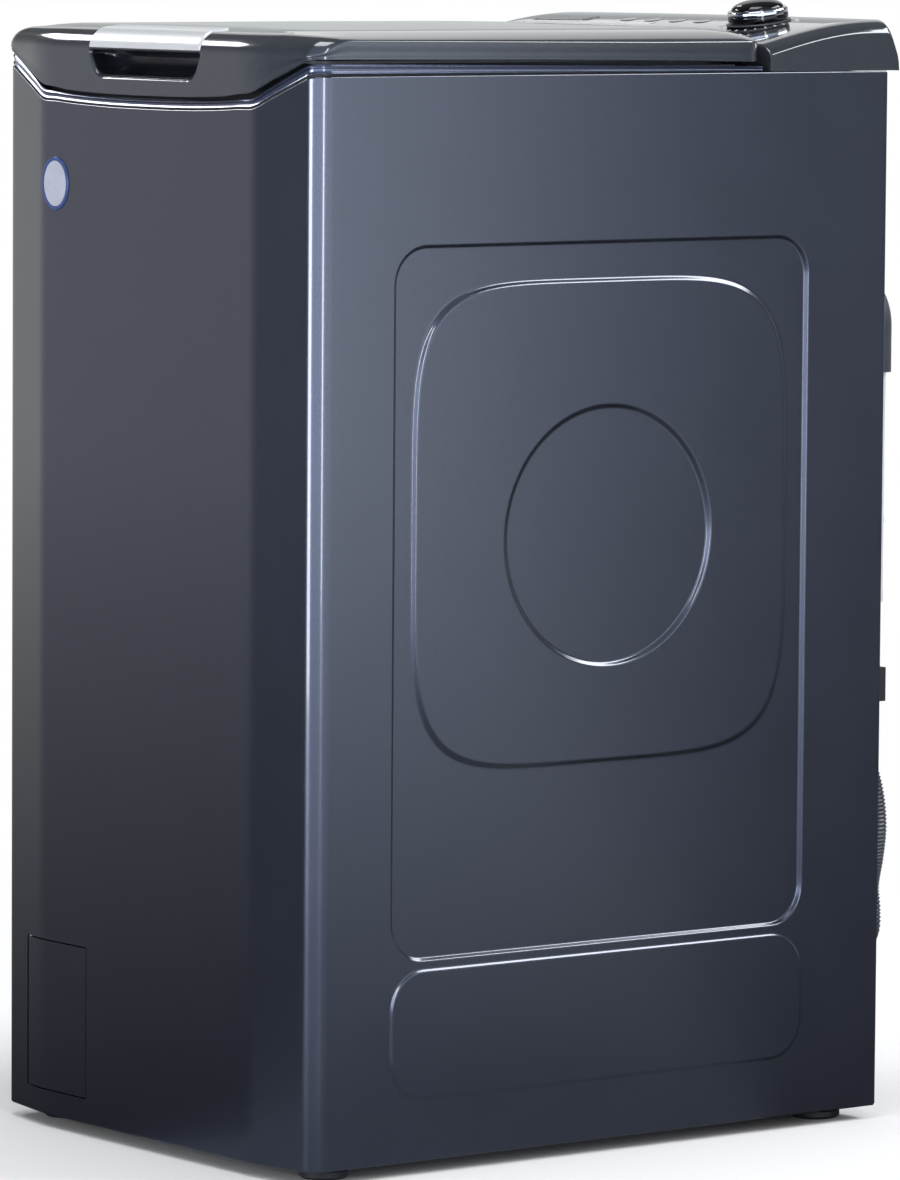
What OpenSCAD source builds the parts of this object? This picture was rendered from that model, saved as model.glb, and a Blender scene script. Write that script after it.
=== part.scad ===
/* [Cabinet] */
// Width over the side skins
cab_w = 400; // [360:1:480]
// Overall depth, from the lid's front edge to the back of the drain hose
depth = 604; // [540:1:720]
// Height of the side skins
cab_h = 794; // [740:1:950]
// Height of the cabinet's lower edge over the floor
foot_h = 10; // [8:0.5:25]
// Room behind the cabinet that the drain hose takes
rear_room = 55; // [48:1:66]
// Thickness of the folded steel skin
skin = 1.2; // [0.8:0.1:1.5]
// Width of each slanted facet beside the flat front
facet_w = 64; // [50:1:80]
// How far the facets fall back at the sides
facet_d = 11.5; // [9:0.5:14]
// Outside radius of the two front corners
corner_r = 17; // [14:0.5:20]
// How far the skin's top edge dips across the front
dip = 26; // [20:1:30]

/* [Side pressings] */
// Depth of the large pressed field
press_in = 3.5; // [2.5:0.1:4]
// Height that the soft square inside the field comes back out
land = 3; // [2:0.1:3]
// Height that the lower field stands proud
press_out = 1.5; // [1:0.1:2]
// Margin of both fields from the rear edge
press_rear = 77; // [65:1:92]
// Margin of both fields from the front corner
press_front = 69.5; // [60:1:83]
// Radius of the round dish in the middle
dish_r = 98; // [80:1:117]

/* [Lid] */
// Lower edge to crown of the lid at its sides
lid_h = 29; // [26:1:34]
// How far the lid stands proud of the skins
lid_over = 2; // [1:0.5:3]
// Depth of the strip behind the lid that the control panel covers
panel_d = 127; // [115:1:152]
// Wall of the moulded covers
wall = 2.5; // [2:0.1:3]
// Width of the finger grip
grip_w = 144; // [120:1:172]

/* [Washing group] */
// Space between the tub and the skins at front and rear
tub_space = 24.25; // [22:0.25:29]
// Space on the left of the tub
left_space = 28; // [25:1:33]
// Space on the right of the tub, which the drive takes
right_space = 62; // [58:1:74]
// Drum axis below the top of the skins
axis_drop = 341; // [336:1:352]
// Wall of the moulded tub
tub_t = 3; // [2.5:0.1:3.6]
// Gap between drum and tub, all round
drum_gap = 14; // [12:0.5:16]
// Thickness of the drum's steel sheet
drum_t = 1; // [0.8:0.1:1.2]
// Half the angle that the two drum flaps cover
flap_half = 27.5; // [24:0.5:28]
// Radius of the drum shafts
shaft_r = 12.5; // [10.5:0.5:15]
// Radius of the big drum pulley
pulley_r = 140; // [117:1:150]
// Radius of the motor pulley
motor_pulley_r = 10; // [9:0.5:12]
// Free play of the sprung tub each way
float_play = 8; // [6:1:9]

/* [Controls] */
// Radius of the programme knob
knob_r = 22.5; // [19:0.5:27]
// Radius of each push button
button_r = 7; // [6:0.5:8]
// Travel of a push button
button_travel = 1.5; // [1.2:0.1:1.8]

/* [Water] */
// Radius over the thread of the 3/4 inch water inlet
inlet_r = 13.2; // [11:0.1:15.8]
// Outside radius of the drain hose's cuff
cuff_r = 11; // [9:0.5:12]
// Outside radius of the ribbed drain hose
hose_r = 12; // [10:0.5:13]
// Width of the filter door
door_w = 86; // [72:1:100]
// Height of the filter door
door_h = 115.5; // [100:0.5:138]

/* [Clearances] */
// Radial play of a pin or shaft that turns
run_fit = 0.05; // [0.02:0.01:0.09]
// Gap between parts that sit beside each other
seat = 0.3; // [0.2:0.05:0.35]
// Gap between parts that pass each other
pass = 1; // [0.8:0.1:1.2]

/* [Hidden] */
$fn = 64;
eps = 0.01;

// Cabinet faces
front_y = -depth / 2 + lid_over + 0.5;
rear_y = depth / 2 - rear_room;
side_front_y = front_y + facet_d;
cab_top = foot_h + cab_h;
half_w = cab_w / 2;
flat_w = cab_w - 2 * facet_w;
dip_start = half_w - 12;
dip_end = flat_w / 2 - 2;
mid_y = (front_y + rear_y) / 2;

// Pressed fields on both sides
field_low = foot_h + 148;
field_high = cab_top - 123;
field_r = 29;
sill_low = foot_h + 46;
sill_high = foot_h + 141;
field_front = side_front_y + press_front;
field_rear = rear_y - press_rear;
land_y = (field_front + field_rear) / 2;
land_z = (field_low + field_high) / 2 + 54;
land_half_y = (field_rear - field_front) / 2 - 18;
land_half_z = min(180, field_high - land_z - 25);
land_power = 5;
dish_taper = 4;
dish_z = land_z - 11;
inner_skin = press_in + skin;

// Lid, frame and panel
lid_rear = rear_y - panel_d + 7;
lid_low = cab_top + 7;
panel_front = lid_rear + 4;
panel_rear = rear_y + 11;
panel_low = cab_top + seat;
frame_in = 2.5;
deck_z = cab_top - 34;
deck_t = 2.5;
frame_low = deck_z - 22;
rear_deck_y = lid_rear + 3;
hinge_y = lid_rear - 14;
hinge_z = lid_low + 15;
hinge_x = half_w - 50;
pin_r = 3;
ear_r = 8;
ear_t = 8;
notch_room = 1.5;
knuckle_t = 8;
pan_in = 13;
pan_low = deck_z + 12;
pan_top = lid_low + 4;

// Washing group
axis_y = mid_y + 8;
axis_z = cab_top - axis_drop;
tub_r = (rear_y - front_y) / 2 - tub_space;
tub_left = -half_w + left_space;
tub_right = half_w - right_space;
end_gap = 20;
end_flange = 14;
lifter_h = 44.4;
drum_left = tub_left + end_gap;
drum_right = tub_right - end_gap;
drum_x = (drum_left + drum_right) / 2;
drum_r = tub_r - tub_t - drum_gap;
end_rib = 10;
hub_out = 4 + end_rib + 2;
flap_x = (drum_right - drum_left) / 2 - 28;
flap_edge_y = drum_r * sin(flap_half);
flap_pin_r = 2;
flap_turn = 1.05;
pin_drop = 3.3;
knuckle_leg = 6.5;
pin_y = (drum_r - pin_drop) * sin(flap_half);
pin_z = (drum_r - pin_drop) * cos(flap_half);
catch_turn = 2.6;
catch_travel = 3;
neck_x = flap_x + 8;
neck_y = flap_edge_y + 11;
neck_top = deck_z - 37;
well_x = neck_x + 5;
well_y = neck_y + 4;
hub_r = 34;
bearing_r = shaft_r + 13.5;
bearing_w = 10;
seal_w = 6;
pulley_x = tub_right + hub_out + 4;
pulley_w = 13;
belt_t = 3;
motor_y = axis_y + 128;
motor_z = axis_z - 300;
motor_r = 55;
motor_lug = 66;
sump_r = tub_r + 24;
sump_half = 16;
sump_x = 80;
outlet_r = 18;
outlet_z = axis_z - sump_r - 16;
spring_r = 11;
wire_r = 1.7;
spring_x = (tub_right - tub_left) / 2 - 22;
spring_y = tub_r - 12;
damper_x = (tub_right - tub_left) / 2 - 14;
damper_y = 150;
damper_r = 15;
base_top = foot_h + 1.3 + 3;

// Controls
knob_x = 108;
knob_y = panel_front + 64;
tilt = 8;
button_gap = 30;
button_x = 40;

// Water
door_x = -118;
door_t = 2.5;
door_back = facet_d * max(0, door_w / 2 - door_x - 1 - door_t - flat_w / 2) / facet_w;
door_low = foot_h + 18.5;
pump_x = door_x;
pump_z = door_low + door_h / 2;
pump_y = front_y + 16;
valve_x = -118;
valve_z = cab_top - 58;
outlet_x = -140;
hose_exit_z = 100;
guide_x = 136;
guide_z = 608;
guide_bend = 30;
hose_y = rear_y + 1 + hose_r + 3;
cuff_low = 396;

paint = "#4a4f5e";
dark = "#3a3e49";
grey = "#8d9097";
black = "#202226";
zinc = "#b9bcc0";
steel = "#c9ccd1";
white = "#e6e6e2";

// ---- Outlines -------------------------------------------------------------

function unit(v) = v / norm(v);

// A counter-clockwise outline moved inwards by d
function inset(p, d) = [
    for (i = [0:len(p) - 1])
        let (a = p[(i + len(p) - 1) % len(p)], b = p[i], c = p[(i + 1) % len(p)],
             u = unit(b - a), v = unit(c - b), m = [-u[1], u[0]], n = [-v[1], v[0]])
            b + (m + n) * d / (1 + m * n)
];

// The arc of radius r that rounds the corner a, b, c
function fillet(a, b, c, r, n) = r <= 0 ? [b] :
    let (u = unit(a - b), v = unit(c - b), h = acos(u * v) / 2,
         o = b + unit(u + v) * r / sin(h), t = r / tan(h),
         p = b + u * t - o, q = b + v * t - o,
         s = atan2(p[1], p[0]), k = atan2(q[1], q[0]) - s,
         turn = k > 180 ? k - 360 : k < -180 ? k + 360 : k)
        [for (i = [0:n]) o + r * [cos(s + turn * i / n), sin(s + turn * i / n)]];

// An outline with its corners rounded, each by its own radius
function rounded(p, r, n = 5) = [
    for (i = [0:len(p) - 1])
        each fillet(p[(i + len(p) - 1) % len(p)], p[i], p[(i + 1) % len(p)], r[i], n)
];

function box_points(x, y) = [[x, y], [-x, y], [-x, -y], [x, -y]];
function soft_box(x, y, r) = rounded(box_points(x, y), [r, r, r, r]);

// The cabinet's plan from its rear corners round the facetted front
function plan_points(rear, out) = inset([
    [half_w, rear - out], [-half_w, rear - out], [-half_w, side_front_y],
    [-flat_w / 2, front_y], [flat_w / 2, front_y], [half_w, side_front_y]
], -out);
function plan(d, rear = rear_y, out = 0, rear_r = 0) =
    rounded(inset(plan_points(rear, out), d),
        [rear_r > 0 ? max(1, rear_r - d) : 0, rear_r > 0 ? max(1, rear_r - d) : 0,
         max(2, corner_r + out - d), 60, 60, max(2, corner_r + out - d)]);

// ---- Building blocks ------------------------------------------------------

module prism(points, low, high) {
    translate([0, 0, low]) linear_extrude(high - low) polygon(points);
}

// A flat shape in the YZ plane, pulled along X
module along_x(from, to) {
    translate([from, 0, 0]) rotate([90, 0, 90]) linear_extrude(to - from) children();
}

// A flat shape in the XZ plane, pulled along Y
module along_y(from, to) {
    translate([0, to, 0]) rotate([90, 0, 0]) linear_extrude(to - from) children();
}

module rod_x(r, from, to, y, z) {
    translate([from, y, z]) rotate([0, 90, 0]) cylinder(r = r, h = to - from);
}

module rod_y(r, from, to, x, z) {
    translate([x, from, z]) rotate([-90, 0, 0]) cylinder(r = r, h = to - from);
}

module both_sides() {
    children();
    mirror([1, 0, 0]) children();
}

// A closed skin through rings that have the same number of points
module loft(rings) {
    n = len(rings[0]);
    m = len(rings);
    polyhedron(
        points = [for (ring = rings) each ring],
        faces = concat(
            [[for (i = [0:n - 1]) i]],
            [for (k = [0:m - 2], i = [0:n - 1])
                let (j = (i + 1) % n) each [
                    [k * n + i, (k + 1) * n + i, (k + 1) * n + j],
                    [k * n + i, (k + 1) * n + j, k * n + j]
                ]],
            [[for (i = [n - 1:-1:0]) (m - 1) * n + i]]),
        convexity = 6);
}

// A round tube of radius r swept along points
module swept(path, r, sides = 8) {
    n = len(path);
    function along(i) = unit(path[min(n - 1, i + 1)] - path[max(0, i - 1)]);
    function frames(i, w) = i == n ? [] :
        let (t = along(i), s = unit(w - t * (w * t))) concat([[s, cross(t, s)]], frames(i + 1, s));
    start = along(0);
    seed = abs(start[2]) < 0.7 ? [0, 0, 1] : [0, 1, 0];
    axes = frames(0, seed);
    loft([for (i = [0:n - 1]) [
        for (k = [sides - 1:-1:0])
            path[i] + r * (axes[i][0] * cos(360 * k / sides) + axes[i][1] * sin(360 * k / sides))
    ]]);
}

// The space above the skins' top edge, which dips across the front
module above_dip(lift, reach) {
    along_y(front_y - 20, front_y + reach)
        polygon([[-dip_start, cab_top + lift], [-dip_end, cab_top - dip + lift],
                 [dip_end, cab_top - dip + lift], [dip_start, cab_top + lift],
                 [dip_start, cab_top + 90], [-dip_start, cab_top + 90]]);
}

// ---- Cabinet --------------------------------------------------------------

// Flat shapes of the side pressings, with Y across and Z up
module field_shape(grow) {
    translate([(field_front + field_rear) / 2, (field_low + field_high) / 2])
        polygon(soft_box((field_rear - field_front) / 2 + grow,
            (field_high - field_low) / 2 + grow, field_r + grow));
}

module sill_shape(grow) {
    translate([(field_front + field_rear) / 2, (sill_low + sill_high) / 2])
        polygon(soft_box((field_rear - field_front) / 2 + grow,
            (sill_high - sill_low) / 2 + grow, field_r + grow));
}

module land_shape(grow) {
    function soft(c) = sign(c) * pow(abs(c), 2 / land_power);
    translate([land_y, land_z]) polygon([
        for (a = [0:5:355])
            [(land_half_y + grow) * soft(cos(a)), (land_half_z + grow) * soft(sin(a))]
    ]);
}

// A shape pressed between two depths under the right-hand skin
module pressed(from, to) {
    along_x(half_w - to, half_w - from) children();
}

module dish(from, to, grow) {
    translate([half_w - to, land_y + 5, dish_z]) rotate([0, 90, 0])
        cylinder(r1 = dish_r - dish_taper + grow, r2 = dish_r + grow, h = to - from);
}

module cabinet_shell() color(paint) difference() {
    union() {
        difference() {
            prism(plan(0), foot_h, cab_top);
            prism(plan(skin), foot_h + skin, cab_top + 1);
            prism(plan(14), foot_h - 1, foot_h + skin + 1);
            translate([-half_w + 16, rear_y - 20, foot_h - 1]) cube([cab_w - 32, 30, cab_h + 2]);
        }
        both_sides() {
            pressed(skin / 2, inner_skin) field_shape(skin);
            pressed(-press_out, skin / 2) sill_shape(0);
        }
    }
    above_dip(0, 40);
    both_sides() {
        difference() {
            pressed(-5, press_in) field_shape(0);
            pressed(-6, press_in + 1) land_shape(0);
        }
        pressed(-5, press_in - land) land_shape(1);
        difference() {
            pressed(press_in - land + skin, inner_skin + 1) land_shape(-skin);
            dish(press_in - land + skin - eps, inner_skin + 2, skin);
        }
        dish(press_in - land - 1, press_in, 0);
        pressed(skin - press_out, skin + 1) sill_shape(-skin);
    }
    // Opening in front of the filter
    translate([door_x - door_w / 2, front_y - 5, door_low]) cube([door_w, 40, door_h]);
}

module rear_panel() color(zinc) difference() {
    union() {
        translate([-half_w + 7, rear_y + eps, foot_h + 4]) cube([cab_w - 14, 1, cab_h - 8]);
        // Stiffening beads
        for (x = [-60, 0, 60])
            along_y(rear_y + 0.5, rear_y + 3.5) translate([x, foot_h + 330]) polygon(soft_box(9, 170, 8.9));
    }
    for (x = [-60, 0, 60])
        along_y(rear_y - 1, rear_y + 2.5) translate([x, foot_h + 330]) polygon(soft_box(8, 169, 7.9));
    rod_y(cuff_r + 6, rear_y - 1, rear_y + 5, outlet_x, hose_exit_z);
    rod_y(9.5, rear_y - 1, rear_y + 5, -half_w + 40, cab_top - 120);
    rod_y(inlet_r + 4, rear_y - 1, rear_y + 5, valve_x, valve_z);
    for (x = [-1, 1], z = [0, 1]) rod_y(12, rear_y - 1, rear_y + 5, x * 105, transport_z(z));
    // Vent slots
    for (i = [0:7]) translate([60, rear_y - 1, cab_top - 60 - i * 9]) cube([44, 5, 4]);
}

function transport_z(k) = axis_z + (k == 0 ? -150 : 90);

module base_frame() color(black) difference() {
    union() {
        difference() {
            prism(plan(skin + seat, rear_y - skin), foot_h + 1.3, foot_h + 30);
            prism(plan(skin + seat + 3, rear_y - skin), base_top, foot_h + 31);
        }
        // Stiffening ribs from side to side
        for (y = [front_y + 140, mid_y + 64]) translate([-half_w + 6, y, base_top - 1]) cube([cab_w - 12, 3, 16]);
        for (p = foot_places()) translate([p[0], p[1], base_top - 1]) cylinder(r = 17, h = 5);
        // Seats of the dampers
        for (p = damper_places()) translate([p[0], p[1], base_top - 1]) cylinder(r = 12, h = 21);
        // Cradle of the drain pump
        translate([pump_x - 24, pump_y + 20, base_top - 1]) cube([48, 8, pump_z - 30 - base_top]);
        translate([pump_x - 24, pump_y + 75, base_top - 1]) cube([48, 8, pump_z - 30 - base_top]);
    }
    rod_y(32 + seat, pump_y - 30, pump_y + 120, pump_x, pump_z);
    for (p = foot_places()) translate([p[0], p[1], foot_h]) cylinder(r = 5.5, h = 20);
    translate([door_x - door_w / 2 - 3, front_y - 5, door_low - 3]) cube([door_w + 6, 30, door_h]);
}

function foot_places() = [for (x = [-1, 1], y = [front_y + 46, rear_y - 32]) [x * (half_w - 34), y]];

module feet() color(black) for (p = foot_places()) translate([p[0], p[1], 0]) rotate_extrude()
    polygon([[0, 0], [17, 0], [19, 2], [19, 6], [12, 9], [5, 9], [5, 36], [4, 37], [0, 37]]);

module foot_nuts() color(zinc) for (p = foot_places()) translate([p[0], p[1], base_top + 4 + seat])
    difference() {
        cylinder(r = 9.8, h = 8, $fn = 6);
        translate([0, 0, -1]) cylinder(r = 5 + run_fit, h = 10);
    }

// ---- Top frame with its loading well --------------------------------------

module top_frame() color(dark) difference() {
    union() {
        difference() {
            prism(plan(skin + seat), frame_low + 14, cab_top - 1);
            prism(plan(skin + seat + wall), deck_z, cab_top + 20);
            prism(plan(skin + seat + wall), frame_low, deck_z - deck_t);
        }
        // Rim that shows under the lid
        difference() {
            prism(plan(frame_in, lid_rear - 26), cab_top - dip - 10, lid_low - seat - 1);
            prism(plan(frame_in + 4, lid_rear + 20), cab_top - dip - 11, lid_low + 1);
        }
        // Raised deck under the control panel
        difference() {
            translate([-half_w + 6, rear_deck_y, deck_z - 1]) cube([cab_w - 12, rear_y - rear_deck_y - 3, cab_top - deck_z]);
            translate([-half_w + 9, rear_deck_y + wall, deck_z - 10])
                cube([cab_w - 18, rear_y - rear_deck_y - 3 - 2 * wall, cab_top - deck_z + 10 - 1 - wall]);
        }
        // Skirt of the well
        translate([drum_x, axis_y, 0]) prism(soft_box(well_x + wall, well_y + wall, 24), frame_low, deck_z);
        // Seats of the springs
        for (p = spring_places()) translate([p[0], p[1], spring_high + seat]) cylinder(r = spring_r + 3, h = deck_z - spring_high - 1);
        // Hinge ears
        both_sides() translate([hinge_x - ear_t / 2, 0, 0]) {
            translate([0, hinge_y - ear_r, deck_z - 1]) cube([ear_t, 2 * ear_r, hinge_z - deck_z + 1]);
            rod_x(ear_r, 0, ear_t, hinge_y, hinge_z);
        }
    }
    translate([drum_x, axis_y, 0]) prism(soft_box(well_x, well_y, 22), frame_low - 1, cab_top);
    // The front of the frame follows the dip of the skins
    above_dip(lid_low - cab_top - seat - 1, 60);
    both_sides() rod_x(pin_r + run_fit, hinge_x - ear_t, hinge_x + ear_t, hinge_y, hinge_z);
    // Seat of the dispenser and of the lock
    translate([-tray_x, tray_front, deck_z - 20]) cube([2 * tray_x, tray_rear - tray_front, 60]);
    translate([-24, lock_y - 15, deck_z - 20]) cube([48, 30, 21]);
    rod_y(9.5, rear_y - 20, rear_y + 5, -half_w + 40, cab_top - 120);
}

tray_x = 100;
tray_front = front_y + 60;
tray_rear = axis_y - well_y - 10;
lock_y = front_y + 38;

module dispenser_tray() color(white) difference() {
    union() {
        translate([-tray_x + seat, tray_front + seat, deck_z - 38])
            cube([2 * (tray_x - seat), tray_rear - tray_front - 2 * seat, 38 + seat + 1]);
        translate([-tray_x - 4, tray_front - 4, deck_z + seat])
            cube([2 * tray_x + 8, tray_rear - tray_front + 8, 2.5]);
    }
    // Prewash, main wash and softener
    for (k = [0:2]) translate([-tray_x + 3 + k * (2 * tray_x - 4) / 3, tray_front + 3, deck_z - 35])
        cube([(2 * tray_x - 4) / 3 - 2.5, tray_rear - tray_front - 6, 60]);
    // Bores that let the water through to the tub
    for (k = [0:2]) translate([-tray_x + 3 + (k + 0.5) * (2 * tray_x - 4) / 3, tray_rear - 20, deck_z - 40])
        cylinder(r = 6, h = 10);
}

module lid_lock() color(black) difference() {
    translate([-24 + seat, lock_y - 15 + seat, deck_z - 18]) cube([48 - 2 * seat, 30 - 2 * seat, 26]);
    translate([-12, lock_y - 8, deck_z - 2]) cube([24, 16, 20]);
}

// ---- Lid ------------------------------------------------------------------

lid_corner_r = 20;
lid_edge_r = 9;

// How far the lid's shell is drawn in at each height, up to its crown
// Inset from the lid's outline, and height over its lower edge
lid_steps = [[0, -1], [0, 11], [0.7, 13.2], [2.4, 15.3], [8, 18.5], [18, 22], [36, 25.2]];
// Share of the last outline, and height, towards the crown
lid_crowns = [[0.8, 27.2], [0.5, 28.7]];

// The rear edge is rounded, so that it clears the control panel as the lid opens
function rear_fall(drop) = drop >= lid_edge_r ? 0 : lid_edge_r - sqrt(pow(lid_edge_r, 2) - pow(lid_edge_r - drop, 2));
function lid_level(h, d) = h < 0 ? lid_low - dip - 4 : lid_low + 1 + h * (lid_h - d) / lid_h;
function lid_outline(s, d) =
    plan(s[0] + d, lid_rear + s[0] - rear_fall(lid_h - max(0, s[1])), lid_over, lid_corner_r + s[0]);

module lid_form(d) {
    centre = [0, (front_y + lid_rear) / 2];
    last = lid_outline(lid_steps[len(lid_steps) - 1], d);
    loft(concat(
        [for (s = lid_steps) [for (p = lid_outline(s, d)) [p[0], p[1], lid_level(s[1], d)]]],
        [for (c = lid_crowns) [for (p = last) concat(centre + (p - centre) * c[0], [lid_level(c[1], d)])]]));
}

// Everything under the lid's lower edge, which dips across the front
module below_lid() {
    along_y(front_y - 30, lid_rear - 40)
        polygon([[-half_w - 20, lid_low - 90], [half_w + 20, lid_low - 90], [half_w + 20, lid_low],
                 [dip_start, lid_low], [dip_end, lid_low - dip], [-dip_end, lid_low - dip],
                 [-dip_start, lid_low], [-half_w - 20, lid_low]]);
    translate([-half_w - 20, lid_rear - 41, lid_low - 90]) cube([cab_w + 40, 60, 90]);
}

module grip_zone(grow) {
    translate([-grip_w / 2 - grow, front_y - 20, lid_low + 7 - grow]) cube([grip_w + 2 * grow, 50 + grow, 60]);
}

module grip_pocket(grow) {
    along_y(front_y - 20, front_y + 22 + grow)
        polygon([[-grip_w / 2 - grow, lid_low + 7.5], [-grip_w / 2 + 5 - grow, lid_low - 2],
                 [-grip_w / 2 + 14, lid_low - 12 - grow], [grip_w / 2 - 14, lid_low - 12 - grow],
                 [grip_w / 2 - 5 + grow, lid_low - 2], [grip_w / 2 + grow, lid_low + 7.5]]);
}

module lid_outer() color(dark) difference() {
    lid_form(0);
    // Hollow of the shell, less the walls round the grip
    difference() {
        lid_form(wall);
        grip_pocket(wall);
        grip_zone(wall);
    }
    difference() {
        intersection() {
            lid_form(2 * wall);
            grip_zone(wall);
        }
        grip_pocket(wall);
    }
    below_lid();
    grip_pocket(0);
    // Notches that pass the hinge ears as the lid opens
    both_sides() translate([hinge_x - ear_t / 2 - notch_room, lid_rear - 14, lid_low - 5])
        cube([ear_t + 2 * notch_room, 20, hinge_z + ear_r + pass - lid_low + 5]);
    // Seat of the handle
    difference() {
        grip_zone(0);
        lid_form(wall);
    }
}

module lid_handle() color(steel) intersection() {
    difference() {
        lid_form(0);
        lid_form(wall - seat);
    }
    translate([-grip_w / 2 + seat, front_y - 20, lid_low + 7.5]) cube([grip_w - 2 * seat, 50 - seat, 60]);
}

module lid_inner() color(grey) difference() {
    union() {
        // Pan that hangs inside the frame's rim
        difference() {
            prism(plan(pan_in, hinge_y - 20, lid_over), pan_low, pan_top);
            prism(plan(pan_in + 2, hinge_y - 20, lid_over), pan_low + 2, pan_top + 1);
        }
        // Flange that is clipped under the shell
        difference() {
            prism(plan(wall + seat, hinge_y - 20, lid_over), pan_top - 2, pan_top);
            prism(plan(pan_in + 1, hinge_y - 20, lid_over), pan_top - 3, pan_top + 1);
        }
        both_sides() for (x = [-1, 1]) translate([hinge_x + x * (ear_t / 2 + pass + knuckle_t / 2), 0, 0]) {
            rod_x(ear_r - 1, -knuckle_t / 2, knuckle_t / 2, hinge_y, hinge_z);
            along_x(-knuckle_t / 2, knuckle_t / 2)
                polygon([[hinge_y - 34, pan_top - 2], [hinge_y - 20, pan_top - 2], [hinge_y + 4, hinge_z - 5],
                         [hinge_y - 4, hinge_z + 5.5], [hinge_y - 34, pan_top + 5]]);
        }
        // Bead that closes the well
        difference() {
            translate([drum_x, axis_y, 0]) prism(soft_box(well_x + 8, well_y + 8, 26), pan_low - 5, pan_low + 1);
            translate([drum_x, axis_y, 0]) prism(soft_box(well_x + 5, well_y + 5, 24), pan_low - 6, pan_low);
        }
    }
    both_sides() rod_x(pin_r, hinge_x - 20, hinge_x + 20, hinge_y, hinge_z);
    grip_pocket(wall + seat);
}

module hinge_pins() color(steel)
    both_sides() rod_x(pin_r - eps, hinge_x - ear_t / 2 - pass - knuckle_t, hinge_x + ear_t / 2 + pass + knuckle_t, hinge_y, hinge_z);

module lid_latch() color(black) along_x(-8, 8)
    polygon([[lock_y - 3, pan_low - eps], [lock_y - 3, deck_z + 6], [lock_y - 5, deck_z + 4], [lock_y - 3, deck_z + 1],
             [lock_y + 2, deck_z + 1], [lock_y + 2, pan_low - eps]]);

// ---- Control panel --------------------------------------------------------

function rise(t) = sin(90 * min(1, max(0, t)));

// One section of the panel: k is 0 at its cheeks and 1 from the ridge inwards
function panel_ring(x, k, d, crown) =
    let (back = panel_rear - d, front = panel_front + d, low = panel_low + 13 + 7 * k,
         high = 16.4 + 1.6 * k, edge = panel_rear - 12 + 2 * k - d)
        concat([[front, panel_low], [back, panel_low],
            [back - 2, low + high + crown - d - 18], [edge + 6, low + high + crown - d - 6]],
            [for (t = [1:-0.125:0]) [front + (edge - front) * t, low + high * rise(t * (1.12 - 0.12 * k)) + crown - d]]);

module panel_form(d) {
    sections = [[-half_w + d, 0, 0], [-half_w + 3 + d, 0.35, 0], [-half_w + 15, 1, 0], [-half_w / 2, 1, 0.8], [0, 1, 1.4],
                [half_w / 2, 1, 0.8], [half_w - 15, 1, 0], [half_w - 3 - d, 0.35, 0], [half_w - d, 0, 0]];
    loft([for (s = sections) [for (p = panel_ring(s[0], s[1], d, s[2])) [s[0], p[0], p[1]]]]);
}

// Places children on the panel's upper face, tilted with it
module on_panel(x, y = knob_y) {
    translate([x, y, panel_face(y)]) rotate([tilt, 0, 0]) children();
}

function panel_face(y) = panel_low + 20 + 18 * rise((y - panel_front) / (panel_rear - 10 - panel_front)) + 0.8;

module control_panel() color(dark) difference() {
    panel_form(0);
    translate([0, 0, -eps]) panel_form(wall);
    on_panel(knob_x) translate([0, 0, -20]) cylinder(r = 6, h = 40);
    for (k = [0:3]) on_panel(button_x - k * button_gap) translate([0, 0, -20]) cylinder(r = button_r + seat, h = 40);
    on_panel(-130) translate([-32, -9, -8]) cube([64, 18, 20]);
}

module dial_ring() color(grey) on_panel(knob_x) difference() {
    translate([0, 0, 1.2]) cylinder(r = knob_r + 8, h = 0.8);
    cylinder(r = 6, h = 5);
}

module knob() color(black) on_panel(knob_x) {
    translate([0, 0, 2.6]) rotate_extrude() polygon([
        [0, 0], [knob_r - 1, 0], [knob_r, 1], [knob_r, 4.2], [knob_r - 3, 4.2],
        [knob_r - 3, 9], for (a = [0:15:90]) [(knob_r - 3) * cos(a), 9 + 7 * sin(a)]
    ]);
    translate([0, 0, -14]) cylinder(r = 4, h = 17);
}

module knob_ring() color(steel) on_panel(knob_x) translate([0, 0, 7]) difference() {
    cylinder(r = knob_r, h = 4);
    translate([0, 0, -1]) cylinder(r = knob_r - 3 + eps, h = 6);
}

module push_button(k) on_panel(button_x - k * button_gap) {
    translate([0, 0, -6]) cylinder(r = button_r, h = 8.5);
    translate([0, 0, -6 - 0.5]) cylinder(r = button_r + 2, h = 1.5);
}
module power_button() color(grey) push_button(0);
module start_button() color(grey) push_button(1);
module temp_button() color(grey) push_button(2);
module spin_button() color(grey) push_button(3);

module display_lens() color("#15181d") on_panel(-130)
    translate([-32 + seat, -9 + seat, -2.5]) cube([64 - 2 * seat, 18 - 2 * seat, 3.2]);

module control_board() color("#2f6f4a") {
    translate([-half_w + 14, panel_front + 14, panel_low + 5]) cube([knob_x + half_w + 16, 92, 1.6]);
    // Posts that stand on the deck, and the selector under the knob
    for (x = [-half_w + 24, knob_x + 6], y = [panel_front + 22, panel_front + 98])
        translate([x, y, cab_top - 1 + seat]) cylinder(r = 4, h = panel_low + 6 - cab_top);
    on_panel(knob_x) difference() {
        translate([-14, -14, -30]) cube([28, 28, 24]);
        translate([0, 0, -18]) cylinder(r = 4 + run_fit, h = 30);
    }
}

// ---- Tub ------------------------------------------------------------------

module at_axis() translate([0, axis_y, axis_z]) children();

// A sector round the drum axis, from r1 to r2, centred on angle mid
module sector(r1, r2, from, to, mid, half) {
    at_axis() translate([from, 0, 0]) rotate([0, 90, 0]) rotate([0, 0, mid - half])
        rotate_extrude(angle = 2 * half) translate([r1, 0]) square([r2 - r1, to - from]);
}

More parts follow.
